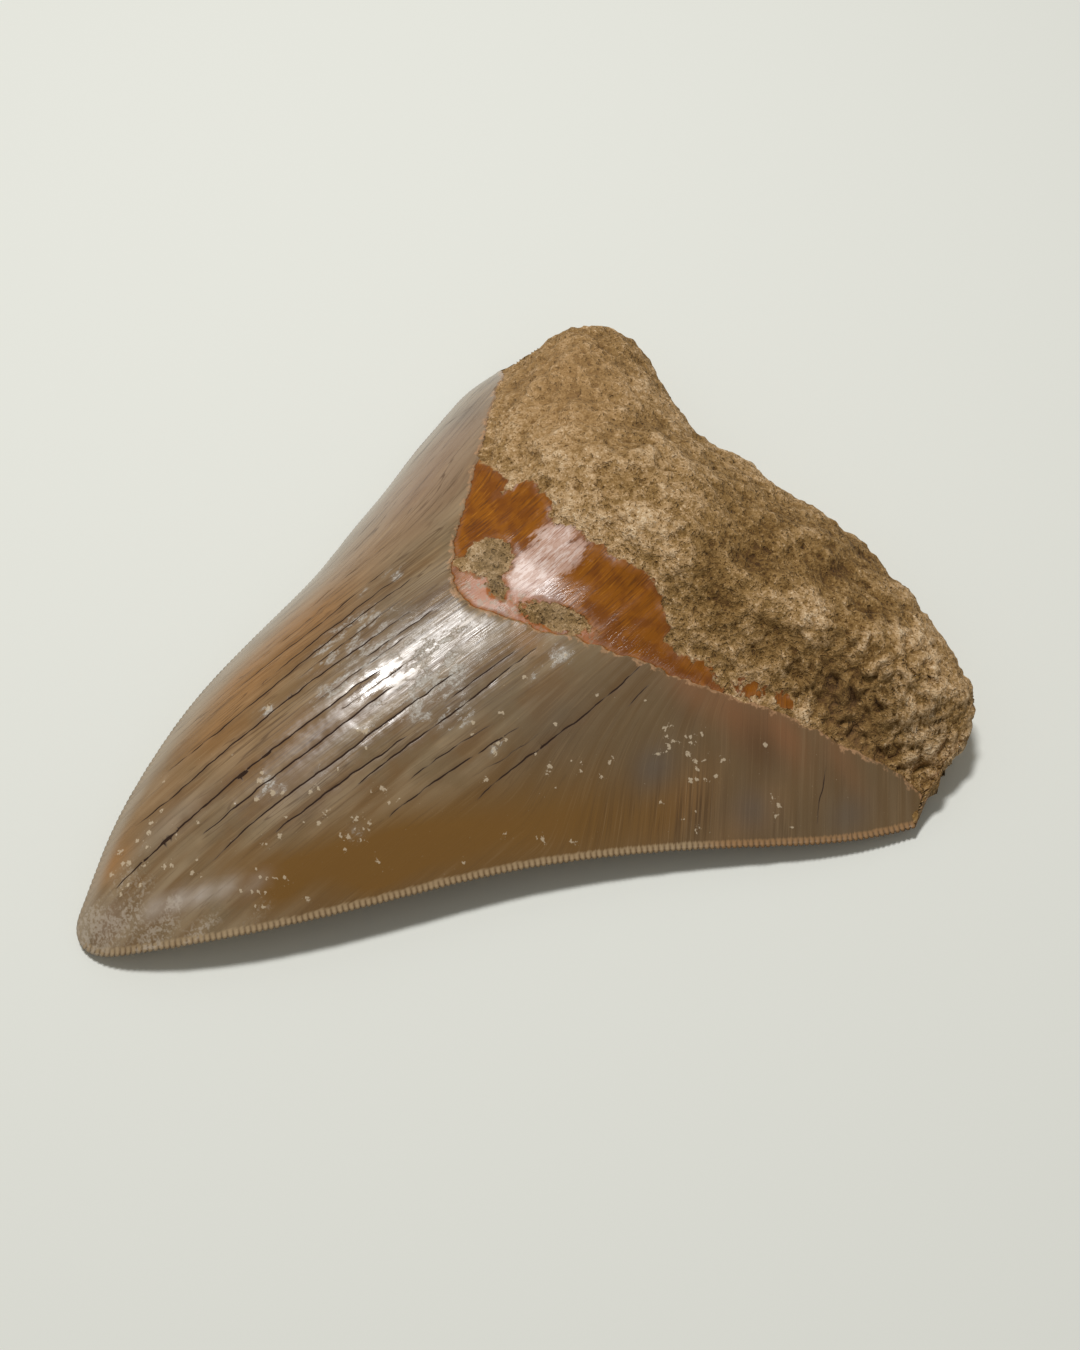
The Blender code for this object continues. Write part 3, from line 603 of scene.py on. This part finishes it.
def chip_points():
    """Points that give each chip of a crack a long outline."""
    found = []
    for (x, y), radius in CRACK_CHIPS:
        for reach in (0.5 * radius, radius, 1.45 * radius):
            for angle in np.arange(10) * math.pi / 5:
                found.append((x + reach * math.cos(angle) / CHIP_NARROW, y + reach * math.sin(angle)))
    return np.array(found)


def fleck_points():
    """Points that give each fleck a round outline."""
    found = []
    for x, y, radius in FLECKS:
        found.append((x, y))
        for count, share in ((5, 0.5), (8, 1.0), (8, 1.5)):
            for angle in np.arange(count) * 2 * math.pi / count:
                reach = radius * share
                found.append((x + reach * math.cos(angle), y + reach * math.sin(angle)))
    return np.array(found)


def fleck_field(points):
    """1 in the middle of each fleck and 0 outside it. The flecks are a little bent out of round."""
    least = np.full(len(points), 9.0)
    bent = points + 0.3 * np.stack([flat_noise(points, 0.35, 1.0), flat_noise(points, 0.35, 5.0)], 1)
    for x, y, radius in FLECKS:
        least = np.minimum(least, np.hypot(bent[:, 0] - x, bent[:, 1] - y) / radius)
    return np.clip(1.5 - least, 0.0, 1.0)


def hex_grid(low, high, step):
    """A triangular grid of points that fills a box."""
    rows = []
    for i, y in enumerate(np.arange(low[1], high[1], step * math.sqrt(3) / 2)):
        xs = np.arange(low[0] + (i % 2) * step / 2, high[0], step)
        rows.append(np.stack([xs, np.full(len(xs), y)], 1))
    return np.concatenate(rows)


def inside(points, outline):
    """Which points lie inside a closed polyline."""
    x, y = points.T
    odd = np.zeros(len(points), bool)
    for (x0, y0), (x1, y1) in zip(outline, np.roll(outline, -1, 0)):
        if y0 != y1:
            crosses = (y0 > y) != (y1 > y)
            odd ^= crosses & (x < (x1 - x0) * (y - y0) / (y1 - y0) + x0)
    return odd


def ring(curve, depth, step):
    """Points at a given depth to the left of a line."""
    base = evenly(curve, max(3, round(length_of(curve) / step)))
    return (base - outward(base) * depth)[1:-1]


class Scatter:
    """The points of one face. Each new set keeps clear of the outline and of the sets before it."""

    def __init__(self, outline):
        self.outline = outline
        dense = np.concatenate([outline, (outline + np.roll(outline, -1, 0)) / 2])
        self.border = tree_of(dense)
        self.sets = []

    def add(self, new, clearance, gap):
        new = new[inside(new, self.outline)]
        new = new[nearest(new, self.border)[1] > clearance]
        for tree in self.sets:
            new = new[nearest(new, tree)[1] > gap]
        if len(new):
            self.sets.append(tree_of(new))
        return new


def face_points(outline, line, rim_round, cracks):
    """Where a face gets its inner points, finest by the edges, the cracks and the end of the enamel."""
    scatter = Scatter(outline)
    chosen = [np.empty((0, 2))]
    for curve, _ in cracks:
        for side in (0.0, -CRACK_HALF_WIDTH, CRACK_HALF_WIDTH):
            clear = 0.12 if side == 0.0 else 0.8 * CRACK_HALF_WIDTH
            chosen.append(scatter.add(ring(curve, side, CRACK_STEP), 1.0, clear))
    if cracks:
        chosen.append(scatter.add(chip_points(), 1.0, 0.06))
        chosen.append(scatter.add(fleck_points(), 1.0, 0.07))
    for side in LINE_OFFSETS:
        chosen.append(scatter.add(ring(line, side, LINE_STEP), 0.5, 0.12))
    for depth, step in EDGE_RINGS:
        chosen.append(scatter.add(ring(CUTTING_EDGE, depth, step), 0.8 * depth, 0.6 * step))
    for angle in RIM_ANGLES:
        depth = rim_round * (1 - math.cos(math.radians(angle)))
        chosen.append(scatter.add(ring(MARGIN, depth, MARGIN_STEP), 0.8 * depth, 0.02))
    low, high = outline.min(0), outline.max(0)
    fine = hex_grid(low, high, ROOT_GRID)
    fine = fine[past_line(fine[:, 0], fine[:, 1], line) > 0.9]
    fine = fine[distance_to(fine, MARGIN) > rim_round * 0.6]
    chosen.append(scatter.add(fine, 0.3, 0.75 * ROOT_GRID))
    coarse = hex_grid(low, high, CROWN_GRID)
    coarse = coarse[past_line(coarse[:, 0], coarse[:, 1], line) < 0.4]
    chosen.append(scatter.add(coarse, 2.2, 0.6 * CROWN_GRID))
    return np.concatenate(chosen)


def triangulate(outline, inner):
    """Triangles that fill the outline, counter-clockwise from above, and their inner points. A chord
    from rim to rim gets a point of its own, so that the two faces share nothing but the rim."""
    count = len(outline)
    while True:
        flat = [Vector(p) for p in np.concatenate([outline, inner])]
        _, _, found, origins, _, _ = delaunay_2d_cdt(flat, [], [list(range(count))], 1, 1e-5)
        faces = np.array([[origins[i][0] for i in face] for face in found])
        sides = np.sort(np.concatenate([faces[:, :2], faces[:, 1:], faces[:, ::2]]), axis=1)
        gap = sides[:, 1] - sides[:, 0]
        chords = np.unique(sides[(sides[:, 1] < count) & (gap > 1) & (gap < count - 1)], axis=0)
        if not len(chords):
            return inner, faces
        inner = np.concatenate([inner, outline[chords].mean(1)])


def vertex_normals(points, faces):
    corners = points[faces]
    face_normals = np.cross(corners[:, 1] - corners[:, 0], corners[:, 2] - corners[:, 0])
    total = np.zeros_like(points)
    for k in range(3):
        np.add.at(total, faces[:, k], face_normals)
    return total / np.linalg.norm(total, axis=1)[:, None]


def bone_relief(points):
    """How far rough bone stands out at each point, and how deep it lies in a pit, from 0 to 1."""
    out = sum(noise_at(points, size, offset) * height for size, height, offset in BONE_LAYERS)
    holes = noise_at(points, PIT_SIZE, (11.0, 6.0, 2.0))
    holes += 0.5 * noise_at(points, PIT_SIZE / 2, (1.0, 8.0, 5.0))
    pit = smoothstep((holes - PIT_START) / 0.25)
    clods = np.clip(CLODS_LEAST + spots(points[:, 0], points[:, 1], CLODS), 0.0, 1.0)
    swelling = np.abs(noise_at(points, CLOD_SIZE, (4.0, 2.0, 9.0)))
    crease = smoothstep((CREASE - swelling) / CREASE) * clods
    out += CLOD_HEIGHT * clods * (np.minimum(swelling, 0.45) - 0.25) - PIT_DEPTH * pit - RELIEF_SINK
    return out, np.clip(0.6 * pit + 0.9 * crease, 0.0, 1.0)


def grain_of(x, y):
    """A coordinate that runs across the enamel's grain. The grain follows the crown's length, and
    turns out towards the cutting edges beside the root."""
    t = np.maximum(y - LEAN_START, 0.0)
    lean = t * t / (t + LEAN_EASE)
    right = smoothstep((x - LEAN_RIGHT_FROM) / LEAN_WIDTH)
    left = smoothstep((-x - LEAN_LEFT_FROM) / LEAN_WIDTH)
    return x + LEAN_ALL * y + lean * (LEAN_RIGHT * right + LEAN_LEFT * left)


def serrated_outline():
    """The tooth's outline, whose serrations stand proud of the cutting edge."""
    phase = np.arange(len(EDGE_SAMPLES)) / SERRATION_STEPS
    proud = SERRATION_DEPTH * serration_lobe(phase) * serration_wear(phase)
    edge = EDGE_SAMPLES + outward(EDGE_SAMPLES) * proud[:, None]
    margin = evenly(MARGIN, round(length_of(MARGIN) / MARGIN_STEP) + 1)
    return np.concatenate([edge, margin[1:-1]])


def tint_fields(x, y, is_base):
    """How strong each tint is at each point."""
    fields = {name: np.clip(spots(x, y, places), 0.0, 1.2) for name, places in TINTS.items()}
    for name in CROWN_TINTS:
        fields[name][is_base] *= 0.5
    return fields


def roughen(points, faces, rough):
    """Moves the rough bone in and out along its normals. Gives its relief and its pits."""
    relief, pit = np.zeros(len(points)), np.zeros(len(points))
    rugged = np.flatnonzero(rough > 0.0)
    relief[rugged], pit[rugged] = bone_relief(points[rugged])
    normals = vertex_normals(points, faces)
    points[rugged] += normals[rugged] * (rough * relief)[rugged, None]
    points[:, 2] = np.maximum(points[:, 2], 0.0)
    return relief, pit


def tooth_geometry():
    """Points and triangles of the closed tooth with its tip at the origin, and fields at its points."""
    cracks = crack_lines()
    outline = serrated_outline()
    count = len(outline)
    upper_inner, upper = triangulate(outline, face_points(outline, CHEVRON_LINE, RIM_ROUND_TOP, cracks))
    lower_inner, lower = triangulate(outline, face_points(outline, LABIAL_CURVE, RIM_ROUND_BASE, []))
    shift = len(upper_inner)
    flat = np.concatenate([outline, upper_inner, lower_inner])
    x, y = flat.T
    is_rim = np.arange(len(flat)) < count
    is_base = np.arange(len(flat)) >= count + shift
    edge_index, to_edge = nearest(flat, EDGE_TREE)
    rib = ribs(flat, to_edge, edge_index)

    crack, stain, fleck = np.zeros(len(flat)), np.zeros(len(flat)), np.zeros(len(flat))
    top = slice(count, count + shift)
    crack[top], stain[top] = crack_fields(upper_inner, cracks)
    fleck[top] = fleck_field(upper_inner)
    rim = rim_height(outline[:, 1])
    height = np.concatenate([rim, lingual_height(upper_inner), labial_height(lower_inner)])
    height += np.where(is_rim, 0.0, np.where(is_base, -np.minimum(rib, 0.5 * height), rib))
    height += FLECK_HEIGHT * fleck - CRACK_DEPTH * crack

    points = np.column_stack([x, y, height])
    under = np.where(lower < count, lower, lower + shift)[:, ::-1]
    faces = np.concatenate([upper, under])
    past = np.where(is_base, past_line(x, y, LABIAL_CURVE), past_line(x, y, CHEVRON_LINE))
    bare = np.where(is_base, -1.0, bare_neck(flat))
    rough = smoothstep(past / 1.2) * (1 - smoothstep(bare / 0.5 + 0.6))
    rough *= np.where(is_base, smoothstep(height / 2.0), 1.0)
    relief, pit = roughen(points, faces, rough)

    notch = (1 - serration_lobe(edge_index / SERRATION_STEPS)) * np.exp(-(to_edge / 0.8) ** 2)
    fields = tint_fields(x, y, is_base)
    fields.update(past=past, neck=bare, crack=crack, stain=stain, fleck=fleck, edge=to_edge)
    fields.update(notch=notch * np.where(x < 0, LEFT_WEAR, 1.0), left=(x < 0).astype(float))
    fields.update(grain=grain_of(x, y), along=y, pit=pit, relief=relief)
    return points, faces, fields


def placed(points):
    """Moves the tooth onto the solid in the frame: tip to tip, and middle to middle across."""
    low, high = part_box("tooth")
    moved = points * METRES
    moved[:, 0] += (low.x + high.x) / 2 - (moved[:, 0].min() + moved[:, 0].max()) / 2
    moved[:, 1] += low.y - moved[:, 1].min()
    moved[:, 2] += low.z
    return moved


def srgb(red, green, blue):
    """A colour from its 0 to 255 values on a screen."""
    shares = (red / 255, green / 255, blue / 255)
    linear = [((c + 0.055) / 1.055) ** 2.4 if c > 0.04 else c / 12.92 for c in shares]
    return (*linear, 1.0)


class Graph:
    """A short way to write the nodes of a material. An input may be a socket, a number or a colour."""

    def __init__(self, name):
        self.material = bpy.data.materials.new(name)
        self.material.use_nodes = True
        self.tree = self.material.node_tree
        self.shader = self.tree.nodes["Principled BSDF"]
        self.found = {}

    def node(self, kind, inputs=(), **settings):
        made = self.tree.nodes.new(kind)
        for key, value in settings.items():
            setattr(made, key, value)
        for key, value in dict(inputs).items():
            self.feed(made.inputs[key], value)
        return made

    def feed(self, socket, value):
        if isinstance(value, bpy.types.NodeSocket):
            self.tree.links.new(value, socket)
        else:
            socket.default_value = value

    def field(self, name):
        if name not in self.found:
            self.found[name] = self.node("ShaderNodeAttribute", attribute_name=name).outputs["Fac"]
        return self.found[name]

    def math(self, operation, *values):
        return self.node("ShaderNodeMath", enumerate(values), operation=operation).outputs[0]

    def ramp(self, value, low, high, to_low=0.0, to_high=1.0):
        """The value taken smoothly from one range to another."""
        inputs = {"Value": value, "From Min": low, "From Max": high, "To Min": to_low, "To Max": to_high}
        return self.node("ShaderNodeMapRange", inputs, interpolation_type="SMOOTHSTEP").outputs["Result"]

    def mix(self, share, first, second):
        made = self.node("ShaderNodeMix", data_type="RGBA")
        for place, value in ((0, share), (6, first), (7, second)):
            self.feed(made.inputs[place], value)
        return made.outputs[2]

    def lerp(self, share, first, second):
        made = self.node("ShaderNodeMix", data_type="FLOAT")
        for place, value in ((0, share), (2, first), (3, second)):
            self.feed(made.inputs[place], value)
        return made.outputs[0]

    def noise(self, at, size, detail=2.0, roughness=0.5):
        inputs = {"Vector": at, "Scale": 1 / size, "Detail": detail, "Roughness": roughness}
        return self.node("ShaderNodeTexNoise", inputs).outputs["Fac"]

    def fibres(self, size, stretch, layer, detail=2.0, roughness=0.5):
        """Noise drawn out along the grain. Each layer gives other noise."""
        along = self.times(self.field("along"), stretch)
        place = self.node("ShaderNodeCombineXYZ", {"X": self.field("grain"), "Y": along, "Z": layer})
        return self.noise(place.outputs[0], size, detail, roughness)

    def palette(self, value, stops):
        """A colour read from a row of stops, each a place from 0 to 1 and a colour."""
        made = self.node("ShaderNodeValToRGB", {"Fac": value})
        bar = made.color_ramp.elements
        while len(bar) < len(stops):
            bar.new(0.5)
        for stop, (place, colour) in zip(bar, stops):
            stop.position = place
            stop.color = srgb(*colour)
        return made.outputs["Color"]

    def tint(self, colour, share, name):
        """The colour with a share of a named colour laid over it."""
        return self.mix(share, colour, srgb(*COLOURS[name]))

    def blend(self, share, first, second):
        """A mix of two named colours."""
        return self.tint(srgb(*COLOURS[first]), share, second)

    def times(self, first, second):
        return self.math("MULTIPLY", first, second)

    def plus(self, base, value, share):
        """The base and a share of the value."""
        return self.math("MULTIPLY_ADD", value, share, base)

    def above(self, value, level):
        return self.math("SUBTRACT", value, level)

    def rest(self, value):
        """What a value lacks of 1."""
        return self.math("SUBTRACT", 1.0, value)

    def larger(self, first, second):
        return self.math("MAXIMUM", first, second)


def enamel_ground(g, wide, cloud):
    """The crown's broad colours: the enamel, its paler upper left slope, painted as a sheen, its stains
    with painted shade and a painted highlight among them, and its pale left rim.
    """
    grain, along = g.field("grain"), g.field("along")
    colour = g.blend(g.ramp(wide, 0.35, 0.65), "enamel", "pale enamel")
    colour = g.tint(colour, g.ramp(cloud, 0.42, 0.66, 0.0, 0.6), "cloud")
    # Painted sheen: the upper left slope of the crown is made paler and greyer, like a reflection on it.
    painted_flank_sheen = g.times(g.ramp(grain, -12.0, -22.0), g.ramp(along, 30.0, 62.0))
    colour = g.tint(colour, g.times(painted_flank_sheen, 0.7), "painted_flank_sheen")
    colour = g.tint(colour, g.ramp(grain, 13.0, 22.0, 0.0, 0.8), "right side")
    warm = g.times(g.field("warm"), g.ramp(wide, 0.25, 0.65, 0.6, 1.0))
    colour = g.tint(colour, warm, "warm")
    # Stains of the enamel, with painted shade and a painted highlight among them.
    for name, share in CROWN_STAINS:
        colour = g.tint(colour, g.times(g.field(name), share), name)
    reach = g.ramp(along, 12.0, 36.0, 2.8, 5.5)
    rim = g.times(g.ramp(g.field("edge"), reach, 0.8), g.field("left"))
    return g.tint(colour, g.times(rim, 0.75), "left rim")


def enamel_lines(g, colour, wide, fibre, grained):
    """The grain's dark and pale fibres, its veins, the stain by the cracks and the growth lines."""
    colour = g.tint(colour, g.times(g.ramp(fibre, 0.53, 0.7, 0.0, 0.58), grained), "streak")
    colour = g.tint(colour, g.times(g.ramp(fibre, 0.46, 0.3, 0.0, 0.36), grained), "pale streak")
    vein = g.math("ABSOLUTE", g.above(g.fibres(1.5, 0.045, 9.0), 0.5))
    vein = g.times(g.ramp(vein, 0.014, 0.003), grained)
    colour = g.tint(colour, g.times(vein, g.ramp(wide, 0.4, 0.6, 0.15, 0.6)), "vein")
    colour = g.tint(colour, g.times(g.field("stain"), 0.42), "stain")
    furrow = g.times(g.ramp(g.fibres(0.8, 0.06, 11.0), 0.5, 0.62, 0.25, 1.0), g.field("striae"))
    return g.tint(colour, g.times(furrow, 0.6), "furrow")


def enamel_edge(g, colour, fibre):
    """The tan beads of the serrations and the dark notches between them. Gives the beads too."""
    beads = g.ramp(g.plus(g.field("edge"), g.above(fibre, 0.5), 0.8), 1.0, 0.6)
    beads = g.times(beads, g.plus(1.0, g.field("left"), -0.85))
    tan = g.blend(g.ramp(g.field("along"), 76.0, 82.0), "bead", "upper bead")
    colour = g.mix(g.times(g.times(beads, g.rest(g.field("notch"))), 0.7), colour, tan)
    return g.tint(colour, g.times(g.field("notch"), 0.65), "notch"), beads


def enamel_wear(g, at, colour):
    """The dull film with frosted flakes in it, and the worn places by the tip. Gives each of them too."""
    drift = g.ramp(g.fibres(1.3, 0.35, 5.0, 3.0, 0.6), 0.4, 0.58, 0.1, 1.0)
    frost = g.times(g.ramp(g.field("film"), 0.1, 0.8), drift)
    colour = g.tint(colour, g.times(frost, 0.2), "frost")
    flake = g.ramp(g.plus(g.fibres(0.75, 0.5, 0.0, 5.0, 0.75), frost, 0.19), 0.6, 0.68)
    flake = g.times(flake, g.ramp(g.noise(at, 0.34, 3.0, 0.7), 0.42, 0.58, 0.45, 1.0))
    flake = g.times(g.times(flake, frost), g.lerp(g.ramp(g.field("gloss"), 0.2, 0.5), 1.0, 0.1))
    colour = g.tint(colour, g.times(flake, 0.75), "flake")
    grit = g.plus(g.noise(at, 0.6, 4.0, 0.75), g.field("worn"), 0.13)
    worn = g.times(g.ramp(grit, 0.54, 0.66), g.ramp(g.field("worn"), 0.1, 0.7))
    return g.tint(colour, g.times(worn, 0.52), "worn"), frost, flake, worn


def enamel(g, at):
    """Colour, roughness and height of the glossy crown."""
    wide = g.fibres(2.4, 0.12, 0.0)
    fibre = g.fibres(0.36, 0.035, 3.0, 4.0, 0.6)
    cloud = g.noise(at, 6.0, 3.0)
    calm = g.larger(g.times(g.field("amber"), 0.85), g.ramp(g.field("grain"), 4.0, 16.0, 0.0, 0.7))
    grained = g.larger(g.rest(calm), g.field("striae"))
    grained = g.times(grained, g.ramp(g.field("along"), 8.0, 42.0, 0.4, 1.0))

    colour = enamel_ground(g, wide, cloud)
    colour = enamel_lines(g, colour, wide, fibre, grained)
    colour, beads = enamel_edge(g, colour, fibre)
    colour, frost, flake, worn = enamel_wear(g, at, colour)
    fleck = g.ramp(g.plus(g.field("fleck"), g.noise(at, 0.3), 2.0), 1.45, 1.75)
    colour = g.tint(colour, g.times(fleck, 0.65), "fleck")
    gash = g.ramp(g.field("crack"), 0.06, 0.36)
    colour = g.tint(colour, gash, "gash")

    bright = g.ramp(g.field("gloss"), 0.3, 0.7)
    roughness = g.lerp(g.ramp(fibre, 0.3, 0.7), 0.2, 0.3)
    roughness = g.lerp(bright, g.lerp(frost, roughness, 0.38), 0.15)
    roughness = g.lerp(g.larger(flake, g.larger(beads, worn)), roughness, 0.4)
    roughness = g.lerp(g.larger(gash, fleck), roughness, 0.95)
    height = g.times(fibre, g.lerp(bright, g.plus(0.008, grained, 0.022), 0.016))
    height = g.plus(height, flake, 0.03)
    return colour, roughness, g.plus(height, cloud, 0.14)


def neck(g, at):
    """Colour, roughness and height of the polished orange neck, with a painted sheen on a pinkish film of
    it.
    """
    streak = g.fibres(0.2, 0.05, 1.0, 3.0, 0.6)
    chip = g.fibres(0.6, 0.3, 7.0, 3.0, 0.7)
    colour = g.blend(g.ramp(g.noise(at, 2.6, 3.0), 0.4, 0.62), "deep orange", "orange")
    colour = g.tint(colour, g.ramp(streak, 0.54, 0.62, 0.0, 0.62), "brown streak")
    colour = g.tint(colour, g.ramp(streak, 0.44, 0.28, 0.0, 0.55), "gold streak")
    skin = g.blend(g.ramp(g.noise(at, 0.9, 3.0, 0.6), 0.48, 0.58), "skin", "pale skin")
    colour = g.mix(g.math("MINIMUM", g.times(g.field("skin"), 0.8), 0.8), colour, skin)
    # A pinkish film with a painted sheen on it: pale cream patches with streaks, rougher than the rest of
    # the neck.
    pink_film_and_sheen = g.ramp(g.plus(g.field("pink_film_and_sheen"), g.above(chip, 0.5), 1.6), 0.3, 0.75)
    cream = g.blend(g.ramp(chip, 0.4, 0.6), "cream", "dull cream")
    cream = g.tint(cream, g.ramp(streak, 0.52, 0.62, 0.0, 0.7), "cream streak")
    colour = g.mix(g.times(pink_film_and_sheen, 0.9), colour, cream)

    roughness = g.lerp(pink_film_and_sheen, g.lerp(g.ramp(streak, 0.3, 0.7), 0.2, 0.28), 0.4)
    dull = g.larger(g.math("MINIMUM", g.field("skin"), 1.0), g.ramp(g.field("neck"), 1.1, 0.4))
    roughness = g.lerp(dull, roughness, 0.45)
    height = g.plus(g.times(streak, 0.014), g.ramp(chip, 0.5, 0.62), 0.008)
    return colour, roughness, height


def bone(g, at):
    """Colour, roughness and height of the porous root and the sand that clings to it, with shade painted
    into its hollows, pits and creases.
    """
    broad = g.noise(at, 5.0, 3.0, 0.6)
    middle = g.noise(at, 1.9, 3.0, 0.6)
    fine = g.noise(at, 0.55, 3.0, 0.7)
    pore = g.ramp(g.noise(at, 0.8, 1.0), 0.62, 0.7)
    crumbs = g.ramp(g.field("neck"), -1.3, -0.2)
    dots = g.ramp(g.noise(at, 0.3, 1.0), 0.62, 0.7)
    sparks = g.ramp(g.noise(at, 0.34, 1.0), 0.38, 0.3)
    tone = BONE_TONE
    # Painted shade and light: the relief makes the bone's hollows darker and its lumps paler, and the pit
    # field darkens its pits and the creases between clods.
    for part, share in ((broad, 0.6), (middle, 0.75), (fine, 0.9), (g.field("relief"), 0.17),
                        (crumbs, 0.06), (g.field("sand"), 0.22), (g.field("umber"), -0.22),
                        (g.field("pit"), -0.28), (pore, -0.1), (dots, -0.42), (sparks, 0.2)):
        tone = g.plus(tone, part, share)
    colour = g.palette(tone, BONE_PALETTE)
    colour = g.tint(colour, g.times(g.field("ochre"), 0.35), "ochre")
    colour = g.tint(colour, g.times(g.field("grey"), 0.3), "grey")
    height = g.plus(g.plus(g.plus(-0.8, middle, 1.2), fine, 0.4), pore, -0.25)
    return colour, BONE_ROUGHNESS, height


def fossil_material():
    """The whole tooth: bone, neck and enamel, each where the fields say."""
    g = Graph("fossil")
    place = g.node("ShaderNodeTexCoord").outputs["Object"]
    at = g.node("ShaderNodeVectorMath", {0: place, "Scale": 1 / METRES}, operation="SCALE").outputs[0]
    fray = g.above(g.noise(at, 0.55, 4.0, 0.65), 0.5)
    past = g.plus(g.field("past"), fray, 1.0)
    on_root = g.ramp(past, 0.0, 0.14)
    on_crown = g.rest(on_root)
    on_neck = g.ramp(g.plus(g.field("neck"), fray, 1.1), -0.1, 0.15)

    colour, roughness, height = bone(g, at)
    for look, share in ((neck(g, at), on_neck), (enamel(g, at), on_crown)):
        colour = g.mix(share, colour, look[0])
        roughness = g.lerp(share, roughness, look[1])
        height = g.lerp(share, height, look[2])
    lip = g.ramp(g.plus(past, g.above(g.noise(at, 1.2, 3.0, 0.6), 0.55), 4.0), -0.8, -0.2)
    lip = g.times(g.times(lip, on_crown), g.ramp(fray, -0.1, 0.08, 0.35, 0.8))
    colour = g.tint(colour, lip, "lip")
    g.feed(g.shader.inputs["Base Color"], colour)
    g.feed(g.shader.inputs["Roughness"], roughness)
    g.shader.inputs["IOR"].default_value = FOSSIL_IOR
    bump = g.node("ShaderNodeBump", {"Height": height, "Strength": 1.0, "Distance": METRES})
    g.feed(g.shader.inputs["Normal"], bump.outputs["Normal"])
    return g.material


def linked(name, data):
    """A new object of the scene."""
    made = bpy.data.objects.new(name, data)
    bpy.context.scene.collection.objects.link(made)
    return made


def make_tooth():
    points, faces, fields = tooth_geometry()
    mesh = bpy.data.meshes.new("tooth_surface")
    mesh.from_pydata(placed(points).tolist(), [], faces.tolist())
    mesh.validate()
    for name, values in fields.items():
        layer = mesh.attributes.new(name, "FLOAT", "POINT")
        layer.data.foreach_set("value", values.astype(np.float32))
    mesh.materials.append(fossil_material())
    mesh.shade_smooth()
    tooth = linked("tooth_surface", mesh)
    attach(tooth, "root")
    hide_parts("tooth")


def make_floor():
    mesh = bpy.data.meshes.new("floor")
    corners = [(x * FLOOR_HALF, y * FLOOR_HALF, 0) for x, y in ((-1, -1), (1, -1), (1, 1), (-1, 1))]
    mesh.from_pydata(corners, [], [(0, 1, 2, 3)])
    g = Graph("paper")
    g.shader.inputs["Base Color"].default_value = srgb(*COLOURS["floor"])
    g.shader.inputs["Roughness"].default_value = FLOOR_ROUGHNESS
    g.shader.inputs["Specular IOR Level"].default_value = FLOOR_SPECULAR
    mesh.materials.append(g.material)
    linked("floor", mesh)


def turned(back, up):
    """The turn that points an object's own +Z along back, with its +Y as near to up as it can be."""
    side = up.cross(back).normalized()
    return Matrix((side, back.cross(side), back)).transposed().to_quaternion()


def make_lights():
    lamp = bpy.data.lights.new("lamp", "AREA")
    lamp.shape = "RECTANGLE"
    lamp.size, lamp.size_y = LAMP_SIZE
    lamp.energy = LAMP_POWER
    light = linked("lamp", lamp)
    way = Vector(LAMP_WAY).normalized()
    light.location = way * LAMP_DISTANCE
    light.rotation_mode = "QUATERNION"
    light.rotation_quaternion = turned(way, Vector((0, 1, 0)))
    world = bpy.data.worlds.new("studio")
    world.use_nodes = True
    sky = world.node_tree.nodes["Background"]
    sky.inputs["Color"].default_value = WORLD_COLOUR
    sky.inputs["Strength"].default_value = WORLD_STRENGTH
    bpy.context.scene.world = world


def make_camera():
    azimuth, elevation = math.radians(CAMERA_AZIMUTH), math.radians(CAMERA_ELEVATION)
    level = math.cos(elevation)
    back = Vector((math.sin(azimuth) * level, -math.cos(azimuth) * level, math.sin(elevation)))
    camera = linked("camera", bpy.data.cameras.new("camera"))
    camera.data.lens = CAMERA_LENS
    camera.data.clip_start = CAMERA_NEAREST
    camera.location = Vector(CAMERA_TARGET) + back * CAMERA_DISTANCE
    camera.rotation_mode = "QUATERNION"
    camera.rotation_quaternion = turned(back, Vector((0, 0, 1)))
    bpy.context.scene.camera = camera


bpy.context.scene.view_settings.view_transform = "Standard"
make_camera()
make_lights()
make_floor()
make_tooth()
